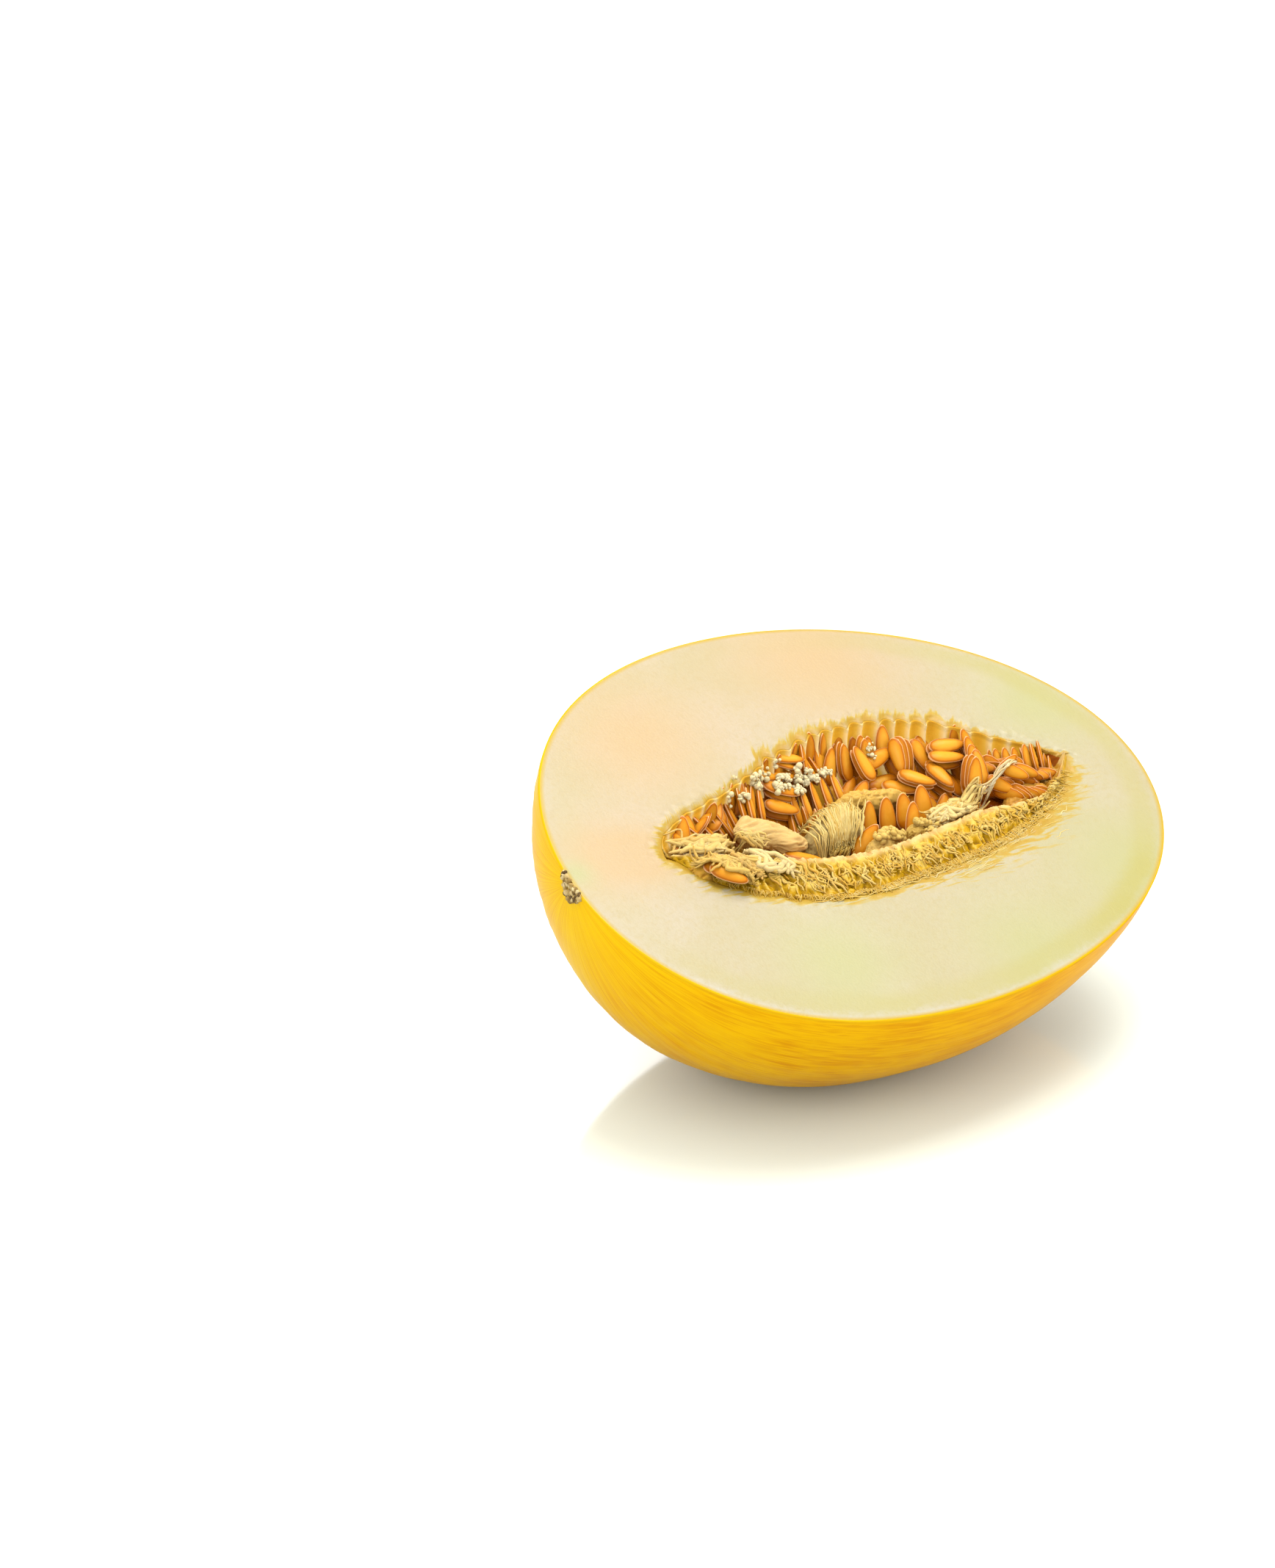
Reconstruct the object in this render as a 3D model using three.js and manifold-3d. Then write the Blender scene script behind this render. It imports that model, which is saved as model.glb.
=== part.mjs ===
// Half a ripe yellow winter melon, cut lengthwise just below its stem and lying on its belly.
//
// Three kinds of piece come apart on a bench: the half itself, which is rind and flesh grown as
// one; the soft seed pulp, which a spoon lifts out of the hollow in one wet mass; and the seeds.
//
// Everything is first drawn in the cut frame, in millimetres:
//   x runs along the core, from the stem end (-) to the blossom end (+),
//   y runs across the cut face, and z points straight out of the cut face, which is z = 0.
// The pose group then rolls and dips that frame, so that the belly's flat spot lies on z = 0.
import * as THREE from "three";
import { mergeVertices } from "three/addons/utils/BufferGeometryUtils.js";
import Module from "manifold-3d";

const wasm = await Module();
wasm.setup();

// ---- Driving dimensions: millimetres, and degrees where the name says so ----

const HALF_LENGTH = 100; // core to either end
const RADIUS = 76.8; // a sphere's radius before the two terms below shape it
const TAPER = -0.081; // narrows the blossom end and fills the stem end
const SHOULDER = 0.052; // fills both ends
const CORE_BOW = 1.4; // the core bends this far towards +y at mid length

const ROLL_DEG = 23.5; // the cut face tips this far towards -y
const DIP_DEG = 2.15; // the blossom end lies this far below level
const BELLY_FLAT_DEPTH = 2.5; // how far the belly is flattened where it rests

const STEM_SCAR = { radius: 5, depth: 1.2 }; // the shallow dish that the stem broke out of

const HOLLOW = {
  middle: 4.5, // x of its middle
  halfLength: 72,
  halfWidth: 32,
  depth: 34,
  sideways: 0.8, // y of its centre line
  sway: 3, // the line swings this far to -y near the stem and to +y near the blossom
  fullness: 0.8, // exponent of its outline; lower is blunter
  sharpening: 0.25, // the exponent grows by this towards the blossom end
  cutShort: 0.985, // share of the half length at which each pointed tip is squared off
};

const PULP = {
  lipRise: 1.6, // the near lip's crest stands this far out of the cut face
  lipCrest: -0.53, // where that crest runs, as a share of the hollow's half width
  lipSpread: 0.6, // the lip widens by this towards the stem
  farRim: -0.5, // height of the pulp where it meets the far side of the cut
  bedDepth: 16, // from rim to bed, at the deepest
  bedFullness: 0.62, // how evenly the bed keeps that depth towards both ends
};

// Torn lumps of pulp that stand up out of the bed: centre, half sizes and turn about z.
const LUMPS = [
  { at: [-24, 6, -11], half: [10.5, 4.5, 8.5], turnDeg: -27 },
  { at: [-7, 3, -10], half: [8, 7, 10], turnDeg: 35 },
  { at: [35, -2, -11], half: [12, 3.6, 8], turnDeg: 16 },
];

const SEED = { length: 11.6, width: 5.2, thickness: 2.1, point: 0.3 };

// The seeds lie in loose rows, each from one place to another on the bed. heading is the way
// their points aim, turning from +x to +y; lean lifts the points out of the cut face's level;
// twist rolls a seed about its own length. A pair of values changes evenly along the row.
const SEED_ROWS = [
  { count: 3, from: [12, 27], to: [27, 28], heading: [95, 85], lean: [50, 50], twist: [10, -10] },
  { count: 4, from: [58, 10.5], to: [65, 6.5], heading: [95, 90], lean: [42, 35], twist: [20, 50] },
  { count: 6, from: [-51, 11], to: [-27, 17], heading: [150, 70], lean: [35, 25], twist: [40, 60] },
  { count: 5, from: [-11, 15], to: [6, 19], heading: [95, 100], lean: [35, 35], twist: [65, 70] },
  { count: 2, from: [23, 24], to: [23, 19], heading: [15, 5], lean: [8, 8], twist: [20, 15] },
  { count: 3, from: [30, 22], to: [37, 21], heading: [-95, -75], lean: [-28, -25], twist: [60, 10] },
  { count: 2, from: [44, 20], to: [42, 16], heading: [-10, -15], lean: [5, 0], twist: [20, 0] },
  { count: 4, from: [51, 18], to: [47, 7], heading: [100, 80], lean: [38, 28], twist: [0, -15] },
  { count: 1, from: [57, 6], to: [57, 6], heading: [20, 20], lean: [15, 15], twist: [50, 50] },
  { count: 5, from: [21, 14], to: [38, 11], heading: [-12, -80], lean: [2, 2], twist: [0, 10] },
  { count: 2, from: [43, 11], to: [43, 5], heading: [100, 80], lean: [15, 50], twist: [10, 0] },
  { count: 2, from: [12, 15], to: [16, 22], heading: [40, 110], lean: [35, 30], twist: [10, 0] },
  { count: 2, from: [-15, 20], to: [-17, 15], heading: [-30, -28], lean: [-8, -5], twist: [0, 10] },
  { count: 4, from: [8, 4], to: [26, 3], heading: [85, 90], lean: [50, 45], twist: [10, -10] },
  { count: 2, from: [0, -5], to: [17, -4], heading: [20, 80], lean: [46, 50], twist: [10, 0] },
  { count: 2, from: [-28, -1], to: [-22, -5], heading: [-35, -30], lean: [4, 2], twist: [10, -20] },
  { count: 3, from: [51, 0], to: [60, 1], heading: [-35, -30], lean: [-12, -8], twist: [40, 60] },
  { count: 2, from: [-55, -8], to: [-56, -13], heading: [-8, -50], lean: [6, 2], twist: [10, 20] },
];

const GAP = 0.35; // clearance between neighbouring pieces
const SETTLING_STEP = 0.4; // how finely a seed is raised out of whatever lies below it

const SKIN_GRID = { around: 64, along: 36 };
const HOLLOW_GRID = { along: 30, across: 16 };
const SEED_GRID = { around: 8, along: 6 };

// ---- Looks ----

const finish = (colour, roughness) =>
  new THREE.MeshStandardMaterial({ color: colour, roughness, metalness: 0 });
const RIND_AND_FLESH = finish("#f2dda6", 0.45);
const WET_PULP = finish("#dcbf6a", 0.35);
const SEED_COAT = finish("#d9952b", 0.3);

// ---- Booleans ----

// A closed three.js geometry as a manifold solid.
function solid(geometry) {
  const bare = geometry.clone().deleteAttribute("normal").deleteAttribute("uv");
  const merged = mergeVertices(bare, 1e-4);
  return new wasm.Manifold(
    new wasm.Mesh({
      numProp: 3,
      vertProperties: new Float32Array(merged.attributes.position.array),
      triVerts: new Uint32Array(merged.index.array),
    }),
  );
}

// A manifold solid as a three.js geometry.
function geometryOf(made) {
  const { vertProperties, triVerts } = made.getMesh();
  const geometry = new THREE.BufferGeometry();
  geometry.setAttribute("position", new THREE.BufferAttribute(vertProperties, 3));
  geometry.setIndex(new THREE.BufferAttribute(triVerts, 1));
  geometry.computeVertexNormals();
  return geometry;
}

// ---- Shapes in the cut frame ----

// A unit ball whose poles lie on the x axis, moved point by point.
function warpedBall({ around, along }, move) {
  const ball = new THREE.SphereGeometry(1, around, along).rotateZ(-Math.PI / 2);
  const points = ball.attributes.position;
  const point = new THREE.Vector3();
  for (let i = 0; i < points.count; i += 1) {
    move(point.fromBufferAttribute(points, i));
    points.setXYZ(i, point.x, point.y, point.z);
  }
  return ball;
}

// The whole fruit's skin: an egg whose core bows a little to one side.
function skin(point) {
  const along = point.x;
  const radius = RADIUS * (1 + TAPER * along + SHOULDER * along * along);
  return point.set(
    HALF_LENGTH * along,
    radius * point.y + CORE_BOW * (1 - along * along),
    radius * point.z,
  );
}

// A place in the hollow's outline: along and across are shares from -1 to 1.
function inHollow(along, across, inset = 0) {
  const fullness = HOLLOW.fullness + HOLLOW.sharpening * along;
  const swell = (1 - along * along) ** fullness;
  const x = HOLLOW.middle + (HOLLOW.halfLength - inset) * along;
  const centre = HOLLOW.sideways + HOLLOW.sway * Math.sin(Math.PI * along);
  return { x, y: centre + (HOLLOW.halfWidth * swell - inset) * across, swell };
}

// Depth of the hollow in the flesh: each cross-section is half an ellipse.
function hollowFloor(along, across) {
  return -HOLLOW.depth * inHollow(along, across).swell * Math.sqrt(1 - across * across);
}

// Top of the pulp: a lip on the near side, then a bowl that climbs to the far rim.
function pulpTop(along, across) {
  const { lipRise, farRim, bedDepth, bedFullness } = PULP;
  const reach = (1 - along * along) ** bedFullness;
  const lipCrest = PULP.lipCrest + PULP.lipSpread * Math.min(0, along) ** 2;
  if (across < lipCrest) {
    const climb = Math.sin(((across + 1) / (lipCrest + 1)) * (Math.PI / 2));
    return farRim + (lipRise * reach - farRim) * climb;
  }
  const share = (across - lipCrest) / (1 - lipCrest);
  const rim = THREE.MathUtils.lerp(lipRise * reach, farRim, share);
  const bowl = Math.sqrt(Math.max(0, 1 - (2 * share - 1) ** 2));
  return rim - bedDepth * reach * bowl;
}

// A closed body between two surfaces over the hollow's outline, drawn in from it by inset.
function bodyInHollow(top, bottom, inset) {
  const { along: rows, across: columns } = HOLLOW_GRID;
  const positions = [];
  const index = [];
  const place = (sheet, row, column) =>
    (sheet * (rows + 1) + row) * (columns + 1) + column;
  for (const surface of [top, bottom]) {
    for (let row = 0; row <= rows; row += 1) {
      const along = HOLLOW.cutShort * Math.sin((row / rows - 0.5) * Math.PI);
      for (let column = 0; column <= columns; column += 1) {
        const across = Math.sin((column / columns - 0.5) * Math.PI);
        const { x, y } = inHollow(along, across, inset);
        positions.push(x, y, surface(along, across));
      }
    }
  }
  const quad = (a, b, c, d) => index.push(a, b, c, a, c, d);
  for (let row = 0; row < rows; row += 1) {
    for (let column = 0; column < columns; column += 1) {
      const corners = (sheet) => [
        place(sheet, row, column),
        place(sheet, row + 1, column),
        place(sheet, row + 1, column + 1),
        place(sheet, row, column + 1),
      ];
      quad(...corners(0));
      quad(...corners(1).reverse());
    }
    quad(place(0, row, 0), place(1, row, 0), place(1, row + 1, 0), place(0, row + 1, 0));
    quad(
      place(0, row + 1, columns),
      place(1, row + 1, columns),
      place(1, row, columns),
      place(0, row, columns),
    );
  }
  for (let column = 0; column < columns; column += 1) {
    quad(
      place(0, 0, column + 1),
      place(1, 0, column + 1),
      place(1, 0, column),
      place(0, 0, column),
    );
    quad(
      place(0, rows, column),
      place(1, rows, column),
      place(1, rows, column + 1),
      place(0, rows, column + 1),
    );
  }
  const geometry = new THREE.BufferGeometry();
  geometry.setAttribute("position", new THREE.Float32BufferAttribute(positions, 3));
  geometry.setIndex(index);
  return geometry;
}

// ---- The pose: rolled towards -y, dipped at the blossom end, belly on the ground ----

const turn = new THREE.Matrix4()
  .makeRotationY(THREE.MathUtils.degToRad(DIP_DEG))
  .multiply(new THREE.Matrix4().makeRotationX(THREE.MathUtils.degToRad(ROLL_DEG)));

const wholeSkin = warpedBall(SKIN_GRID, skin);

// How far the turned fruit is moved, so that its flat spot is centred on the origin.
function restingPlace() {
  const turned = solid(wholeSkin.clone().applyMatrix4(turn));
  const lowest = turned.boundingBox().min[2];
  const size = 4 * HALF_LENGTH;
  const ground = new THREE.BoxGeometry(size, size, size);
  ground.translate(0, 0, lowest + BELLY_FLAT_DEPTH - size / 2);
  const { min, max } = turned.intersect(solid(ground)).boundingBox();
  return new THREE.Vector3(
    -(min[0] + max[0]) / 2,
    -(min[1] + max[1]) / 2,
    -(lowest + BELLY_FLAT_DEPTH),
  );
}

const rest = new THREE.Matrix4().setPosition(restingPlace()).multiply(turn);

// ---- Pieces ----

// Rind and flesh: the egg, cut across, hollowed, dished at the stem and flattened at the belly.
function rindAndFlesh() {
  const size = 4 * HALF_LENGTH;
  const knife = new THREE.BoxGeometry(size, size, size).translate(0, 0, size / 2);
  const ground = new THREE.BoxGeometry(size, size, size).translate(0, 0, -size / 2);
  ground.applyMatrix4(rest.clone().invert());
  const above = HOLLOW.halfWidth;
  const hollow = bodyInHollow(() => above, hollowFloor, 0);
  const { radius, depth } = STEM_SCAR;
  const dish = new THREE.SphereGeometry(1, 20, 12).scale(depth, radius, radius);
  dish.translate(-HALF_LENGTH, 0, 0);
  return geometryOf(
    solid(wholeSkin)
      .subtract(solid(knife))
      .subtract(solid(hollow))
      .subtract(solid(dish))
      .subtract(solid(ground)),
  );
}

// The pulp that lines the hollow, with its torn lumps.
function seedPulp() {
  const floor = (along, across) => hollowFloor(along, across) + GAP;
  const lining = solid(bodyInHollow(pulpTop, floor, GAP));
  const lumps = LUMPS.map(({ at, half, turnDeg }) =>
    solid(
      new THREE.SphereGeometry(1, 16, 10)
        .scale(...half)
        .rotateZ(THREE.MathUtils.degToRad(turnDeg))
        .translate(...at),
    ),
  );
  return geometryOf(lumps.reduce((pulp, lump) => pulp.add(lump), lining));
}

// One seed: a flat oval that narrows to a point at its +x end, swollen all round by margin.
function seedShape(margin = 0) {
  const { length, width, thickness, point } = SEED;
  const half = [length, width, thickness].map((size) => size / 2 + margin);
  return warpedBall(SEED_GRID, (p) => {
    const narrow = 1 - point * p.x;
    p.set(half[0] * p.x, half[1] * narrow * p.y, half[2] * narrow * p.z);
  });
}

// A seed's turn: its point along heading and lean, its flat side rolled by twist.
function seedTurn(heading, lean, twist) {
  const radians = [twist, -lean, heading].map(THREE.MathUtils.degToRad);
  return new THREE.Quaternion().setFromEuler(new THREE.Euler(...radians, "ZYX"));
}

// Raises a seed straight out of the cut face until it is clear of everything below it.
function settle(place, obstacles) {
  const swollen = seedShape(GAP);
  const raise = new THREE.Matrix4().makeTranslation(0, 0, SETTLING_STEP);
  const meets = () => {
    const seed = solid(swollen.clone().applyMatrix4(place));
    return obstacles.some((obstacle) => seed.intersect(obstacle).volume() > 0);
  };
  while (meets()) place.premultiply(raise);
  return place;
}

// ---- The part ----

const part = new THREE.Group();
const pose = new THREE.Group();
rest.decompose(pose.position, pose.quaternion, pose.scale);
part.add(pose);

function addPiece(name, geometry, material) {
  const mesh = new THREE.Mesh(geometry, material);
  mesh.name = name;
  pose.add(mesh);
  return mesh;
}

const half = addPiece("melon_half", rindAndFlesh(), RIND_AND_FLESH);
const pulp = addPiece("seed_pulp", seedPulp(), WET_PULP);

const settled = [solid(half.geometry), solid(pulp.geometry)];
for (const { count, from, to, heading, lean, twist } of SEED_ROWS) {
  for (let i = 0; i < count; i += 1) {
    const between = ([start, end]) => THREE.MathUtils.lerp(start, end, i / Math.max(1, count - 1));
    const turned = seedTurn(between(heading), between(lean), between(twist));
    const start = new THREE.Vector3(
      between([from[0], to[0]]),
      between([from[1], to[1]]),
      -PULP.bedDepth,
    );
    const place = new THREE.Matrix4().makeRotationFromQuaternion(turned).setPosition(start);
    settle(place, settled);
    const name = `seed_${String(settled.length - 1).padStart(2, "0")}`;
    const seed = addPiece(name, seedShape(), SEED_COAT);
    place.decompose(seed.position, seed.quaternion, seed.scale);
    settled.push(solid(seedShape().applyMatrix4(place)));
  }
}

export default part;
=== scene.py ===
# %% [markdown]
# # Half a ripe yellow melon
#
# This notebook dresses the solid model of a cut melon: waxy rind, moist flesh, a hollow full of
# wet pulp, and seeds that lie in it every which way. The solid model is loaded as the frame.
# It says how big everything is and where it lies, so the first thing to keep is its box.

import math

import bpy
import numpy as np
from mathutils import Matrix, Vector


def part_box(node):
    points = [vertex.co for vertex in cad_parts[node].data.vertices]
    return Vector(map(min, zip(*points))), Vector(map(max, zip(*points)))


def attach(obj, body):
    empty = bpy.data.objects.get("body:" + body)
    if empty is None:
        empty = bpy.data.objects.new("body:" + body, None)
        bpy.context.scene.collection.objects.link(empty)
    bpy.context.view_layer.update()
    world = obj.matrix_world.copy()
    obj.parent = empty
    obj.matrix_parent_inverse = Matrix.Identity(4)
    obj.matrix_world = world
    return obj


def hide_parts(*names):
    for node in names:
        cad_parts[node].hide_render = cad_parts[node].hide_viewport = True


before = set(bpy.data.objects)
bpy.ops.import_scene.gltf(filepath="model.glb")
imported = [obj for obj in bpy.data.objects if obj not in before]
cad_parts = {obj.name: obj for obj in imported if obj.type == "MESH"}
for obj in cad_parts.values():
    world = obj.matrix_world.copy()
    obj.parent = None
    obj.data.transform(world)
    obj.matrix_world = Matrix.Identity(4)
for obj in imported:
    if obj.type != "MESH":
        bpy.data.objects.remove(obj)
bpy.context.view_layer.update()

# %% [markdown]
# ## Helpers for materials
#
# Colours are picked as sRGB hex values, the way a paint chart gives them, but a shader works in
# linear light, so one function converts them. Colours picked under a strong light look brighter
# than the surface is, so they are also divided by that light. It isn't the same for the open cut
# face, the rind that curves away, the shaded hollow and the seeds in it. A second function adds a
# node, sets it and wires it. With these two, a material reads from top to bottom like a recipe.

# %% Colour and node helpers
MM = 0.001
FLESH_LIGHT, RIND_LIGHT, HOLLOW_LIGHT, SEED_LIGHT = 3.02, 1.74, 2.15, 1.66


def linear(hex_colour, light=1.0):
    """An sRGB hex colour as linear RGBA: each channel is undone by the sRGB curve.

    A colour that was picked as it looks under a strong light is divided by that light.
    """
    channels = [int(hex_colour[i : i + 2], 16) / 255 for i in (1, 3, 5)]
    curve = [c / 12.92 if c <= 0.04045 else ((c + 0.055) / 1.055) ** 2.4 for c in channels]
    return [c / light for c in curve] + [1.0]


def per_mm(size):
    """The scale of a texture whose grains are size mm wide, on coordinates in metres."""
    return 1 / (size * MM)


def add(tree, kind, inputs=None, out=0, stops=None, **settings):
    """Adds a node, applies its settings, fills or links its inputs, and returns one output.

    Inputs go by name or by number, outputs too. Stops are a colour ramp's own places and colours.
    """
    node = tree.nodes.new("ShaderNode" + kind)
    for name, value in settings.items():
        setattr(node, name, value)
    for i, (place, colour) in enumerate(stops or []):
        stop = node.color_ramp.elements[i] if i < 2 else node.color_ramp.elements.new(place)
        stop.position, stop.color = place, linear(colour, tree["light"])
    for name, value in (inputs or {}).items():
        if isinstance(value, bpy.types.NodeSocket):
            tree.links.new(value, node.inputs[name])
        else:
            value = linear(value, tree["light"]) if isinstance(value, str) else value
            node.inputs[name].default_value = value
    return node.outputs[out]


FACTOR, FIRST, SECOND = 0, 6, 7
COLOURS = {"data_type": "RGBA", "out": 2}
SMOOTH = {"interpolation_type": "SMOOTHSTEP"}
TIMES, TIMES_PLUS = {"operation": "MULTIPLY"}, {"operation": "MULTIPLY_ADD"}


def new_material(name, light=1.0):
    """A material with a Principled shader, and the light that its colours were picked under."""
    material = bpy.data.materials.new(name)
    material.use_nodes = True
    tree = material.node_tree
    tree["light"] = light
    return material, tree, tree.nodes["Principled BSDF"]


def set_shader(tree, shader, **values):
    """Sets or links the shader's inputs by name, with _ for a space."""
    for name, value in values.items():
        socket = shader.inputs[name.replace("_", " ")]
        if isinstance(value, bpy.types.NodeSocket):
            tree.links.new(value, socket)
        else:
            socket.default_value = value


print("cream in linear light:", [round(c, 3) for c in linear("#f2dda6")])

# %% [markdown]
# ## Helpers for meshes
#
# Every new piece is a closed skin made of rings. A ring is one closed loop of points, the rings
# follow each other from one pole to the other, and a fan of triangles closes each pole. An egg, a
# seed, a string of pulp and the whole half melon all fit that one recipe. Seeds and grains come by
# the dozen, so the same function also takes a stack of such skins and makes one mesh of them.

# %% Rings to a closed mesh
def shells(name, rings, poles, **painted):
    """One mesh from k closed skins.

    rings is (k, m, n, 3) in metres: m rings of n points, each ring running anticlockwise as
    seen from the last pole. poles is (k, 2, 3). Each painted value is (k, m, n).
    """
    k, m, n, _ = rings.shape
    points = np.concatenate([rings.reshape(k, m * n, 3), poles], axis=1)
    here, there = np.arange(n), np.roll(np.arange(n), -1)
    start = (np.arange(m - 1) * n)[:, None]
    quads = np.stack([start + here, start + there, start + n + there, start + n + here], -1)
    first = np.stack([np.full(n, m * n), there, here], -1)
    last = np.stack([np.full(n, m * n + 1), (m - 1) * n + here, (m - 1) * n + there], -1)
    offsets = (np.arange(k) * (m * n + 2))[:, None]
    quads = (offsets + quads.reshape(1, -1)).reshape(-1, 4)
    fans = (offsets + np.concatenate([first, last]).reshape(1, -1)).reshape(-1, 3)
    corners = np.concatenate([quads.ravel(), fans.ravel()])
    starts = np.concatenate([np.arange(len(quads)) * 4, len(quads) * 4 + np.arange(len(fans)) * 3])

    mesh = bpy.data.meshes.new(name)
    mesh.vertices.add(points.shape[0] * points.shape[1])
    mesh.vertices.foreach_set("co", points.astype(np.float32).ravel())
    mesh.loops.add(len(corners))
    mesh.loops.foreach_set("vertex_index", corners.astype(np.int32))
    mesh.polygons.add(len(starts))
    mesh.polygons.foreach_set("loop_start", starts.astype(np.int32))
    mesh.update(calc_edges=True)
    mesh.shade_smooth()
    piece = bpy.data.objects.new(name, mesh)
    bpy.context.scene.collection.objects.link(piece)
    paint(piece, (k, m, n), **painted)
    flat = points.reshape(-1, 3)
    sides = np.concatenate([quads[:, [0, 1, 2]], quads[:, [0, 2, 3]], fans])
    a, b, c = (flat[sides[:, i]] for i in range(3))
    volume = np.einsum("ij,ij->", a, np.cross(b, c)) / 6e-6
    print(f"{name}: {k} closed skin(s), {len(sides)} triangles, {volume:.2f} cubic cm")
    return piece


def paint(piece, grid, **painted):
    """Keeps numbers on a piece's vertices; a pole takes the mean of the ring next to it."""
    k, m, n = grid
    for label, values in painted.items():
        flat = np.broadcast_to(values, grid).reshape(k, m * n)
        ends = np.stack([flat[:, :n].mean(1), flat[:, -n:].mean(1)], 1)
        data = np.concatenate([flat, ends], 1).astype(np.float32).ravel()
        piece.data.attributes.new(label, "FLOAT", "POINT").data.foreach_set("value", data)


def dress(piece, material, slot, *replaced):
    """Gives a finished piece its material and its body, and hides the solids it stands for; slot is
    not used.
    """
    piece.data.materials.append(material)
    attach(piece, "root")
    if replaced:
        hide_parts(*replaced)
    return piece


# %% [markdown]
# Nothing that grew is smooth, so a soft random field is needed as well. Value noise is the
# simplest: a random number sits on each corner of a lattice, and a point in between takes a
# smooth blend of the eight corners around it. Folding it at its middle gives sharp crests, which
# look like folded, stringy pulp.

# %% Value noise on whole arrays
def hashed(cell, seed):
    """A repeatable random number from 0 to 1 for each whole-number lattice corner."""
    x, y, z = (cell[..., i].astype(np.uint32) for i in range(3))
    value = x * np.uint32(374761393) + y * np.uint32(668265263) + z * np.uint32(2246822519)
    value = value + np.uint32(seed * 3266489917 % 2**32)
    value = (value ^ (value >> np.uint32(13))) * np.uint32(1274126177)
    value = (value ^ (value >> np.uint32(15))) * np.uint32(2246822519)
    return (value ^ (value >> np.uint32(16))) / 2**32


def noise(points, size, seed=0):
    """Value noise from 0 to 1: lattice corners lie size apart, blended with a smooth step."""
    scaled = points / np.asarray(size, float) + 1000.0
    cell = np.floor(scaled).astype(np.int64)
    part = scaled - cell
    part = part * part * (3 - 2 * part)
    total = 0.0
    for corner in np.ndindex(2, 2, 2):
        weight = np.prod(np.where(corner, part, 1 - part), axis=-1)
        total = total + weight * hashed(cell + corner, seed)
    return total


def crests(points, size, seed=0):
    """Noise folded at its middle: 1 along thin crests and 0 in the hollows between them."""
    return 1 - np.abs(2 * noise(points, size, seed) - 1)


def smooth_step(value, start, end):
    """0 before start, 1 after end, and an S-curve between them."""
    t = np.clip((value - start) / (end - start), 0, 1)
    return t * t * (3 - 2 * t)


def push_out(grid, height):
    """Moves a grid of points (..., m, n, 3) by height along the surface's own normals.

    The normal is the cross product of the two directions that the grid runs in.
    """
    across = np.gradient(grid, axis=-2)
    onward = np.gradient(grid, axis=-3)
    normal = np.cross(across, onward)
    length = np.maximum(np.linalg.norm(normal, axis=-1, keepdims=True), 1e-9)
    return grid + normal / length * height[..., None]


def stretched(*columns):
    """Separate coordinate arrays as one array of points."""
    return np.stack(np.broadcast_arrays(*columns), -1)


print("noise runs from 0 to 1:", noise(stretched(np.linspace(0, 9, 5), 0, 0), 1).round(2))

# %% [markdown]
# ## The shape of the fruit
#
# The fruit is drawn in its cut frame, in millimetres: x along the core towards the blossom end, y
# across the cut face, z out of it. These are the solid model's own driving sizes. Where the half
# lies isn't copied: it is measured, by turning this skin and laying its box on the solid's box.

# %% Sizes and place of the half
HALF_LENGTH = 100.0
RADIUS, TAPER, SHOULDER, CORE_BOW = 76.8, -0.081, 0.052, 1.4
ROLL, DIP = math.radians(23.5), math.radians(2.15)

HOLLOW_MIDDLE, HOLLOW_LENGTH, HOLLOW_WIDTH, HOLLOW_DEPTH = 4.5, 72.0, 32.0, 34.0
HOLLOW_SIDEWAYS, HOLLOW_SWAY = 0.8, 3.0
NEAR_SLIP, TIP_LIFT = 5.0, 4.0
HOLLOW_FULLNESS, HOLLOW_SHARPENING = 0.8, 0.25

LIP_RISE, LIP_CREST, LIP_SPREAD = 1.6, -0.53, 0.6
FAR_RIM, RIM_START, BED_DEPTH, BED_FULLNESS = -0.49, 0.983, 16.0, 0.62

TURN = np.array(Matrix.Rotation(DIP, 3, "Y") @ Matrix.Rotation(ROLL, 3, "X"))


def skin(ball, swell=0.0):
    """The skin over points of a unit ball: an egg with its long axis on x and a bowed core.

    x is scaled by the half length, y and z by a radius that tapers with x and widens with its
    square. A parabola bows the core sideways, and swell is added to the radius.
    """
    x, y, z = ball[..., 0], ball[..., 1], ball[..., 2]
    radius = RADIUS * (1 + TAPER * x + SHOULDER * x * x) + swell
    return stretched(HALF_LENGTH * x, radius * y + CORE_BOW * (1 - x * x), radius * z)


def lower_ball(around, down):
    """The lower half of a unit ball: around is the angle on the cut face, down leaves it."""
    return stretched(
        np.cos(down) * np.cos(around), np.cos(down) * np.sin(around), -np.sin(down)
    )


def resting_place():
    """How far the turned skin moves, so that its box lies on the box of the solid."""
    around, down = np.meshgrid(np.linspace(0, 2 * np.pi, 721), np.linspace(0, np.pi / 2, 181))
    turned = skin(lower_ball(around, down)) @ TURN.T
    low, high = (np.array(corner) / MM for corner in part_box("melon_half"))
    middle = (low + high - turned.min((0, 1)) - turned.max((0, 1))) / 2
    return np.array([middle[0], middle[1], high[2] - turned[..., 2].max()])


PLACE = resting_place()
print("the core's middle lies at, mm:", PLACE.round(2))


def settled(points):
    """Points of the cut frame, in mm, as points of the row frame, in metres."""
    return (points @ TURN.T + PLACE) * MM


# %% [markdown]
# ## Camera, floor and light
#
# The half is seen from the stem side and from above, with a long lens that flattens it, as a
# product photographer would. The floor is a pale grey polished sheet, lit until it looks white. A
# white room does most of the lighting, so the shadow is soft and lies close under the belly. Four
# panels shape it: a strong one overhead, one at the left and one behind that give the wet pulp its
# gleam, and one at the right that only brightens the belly. The room itself hardly shows in the
# gleams, or the whole rind would look milky.

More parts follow.
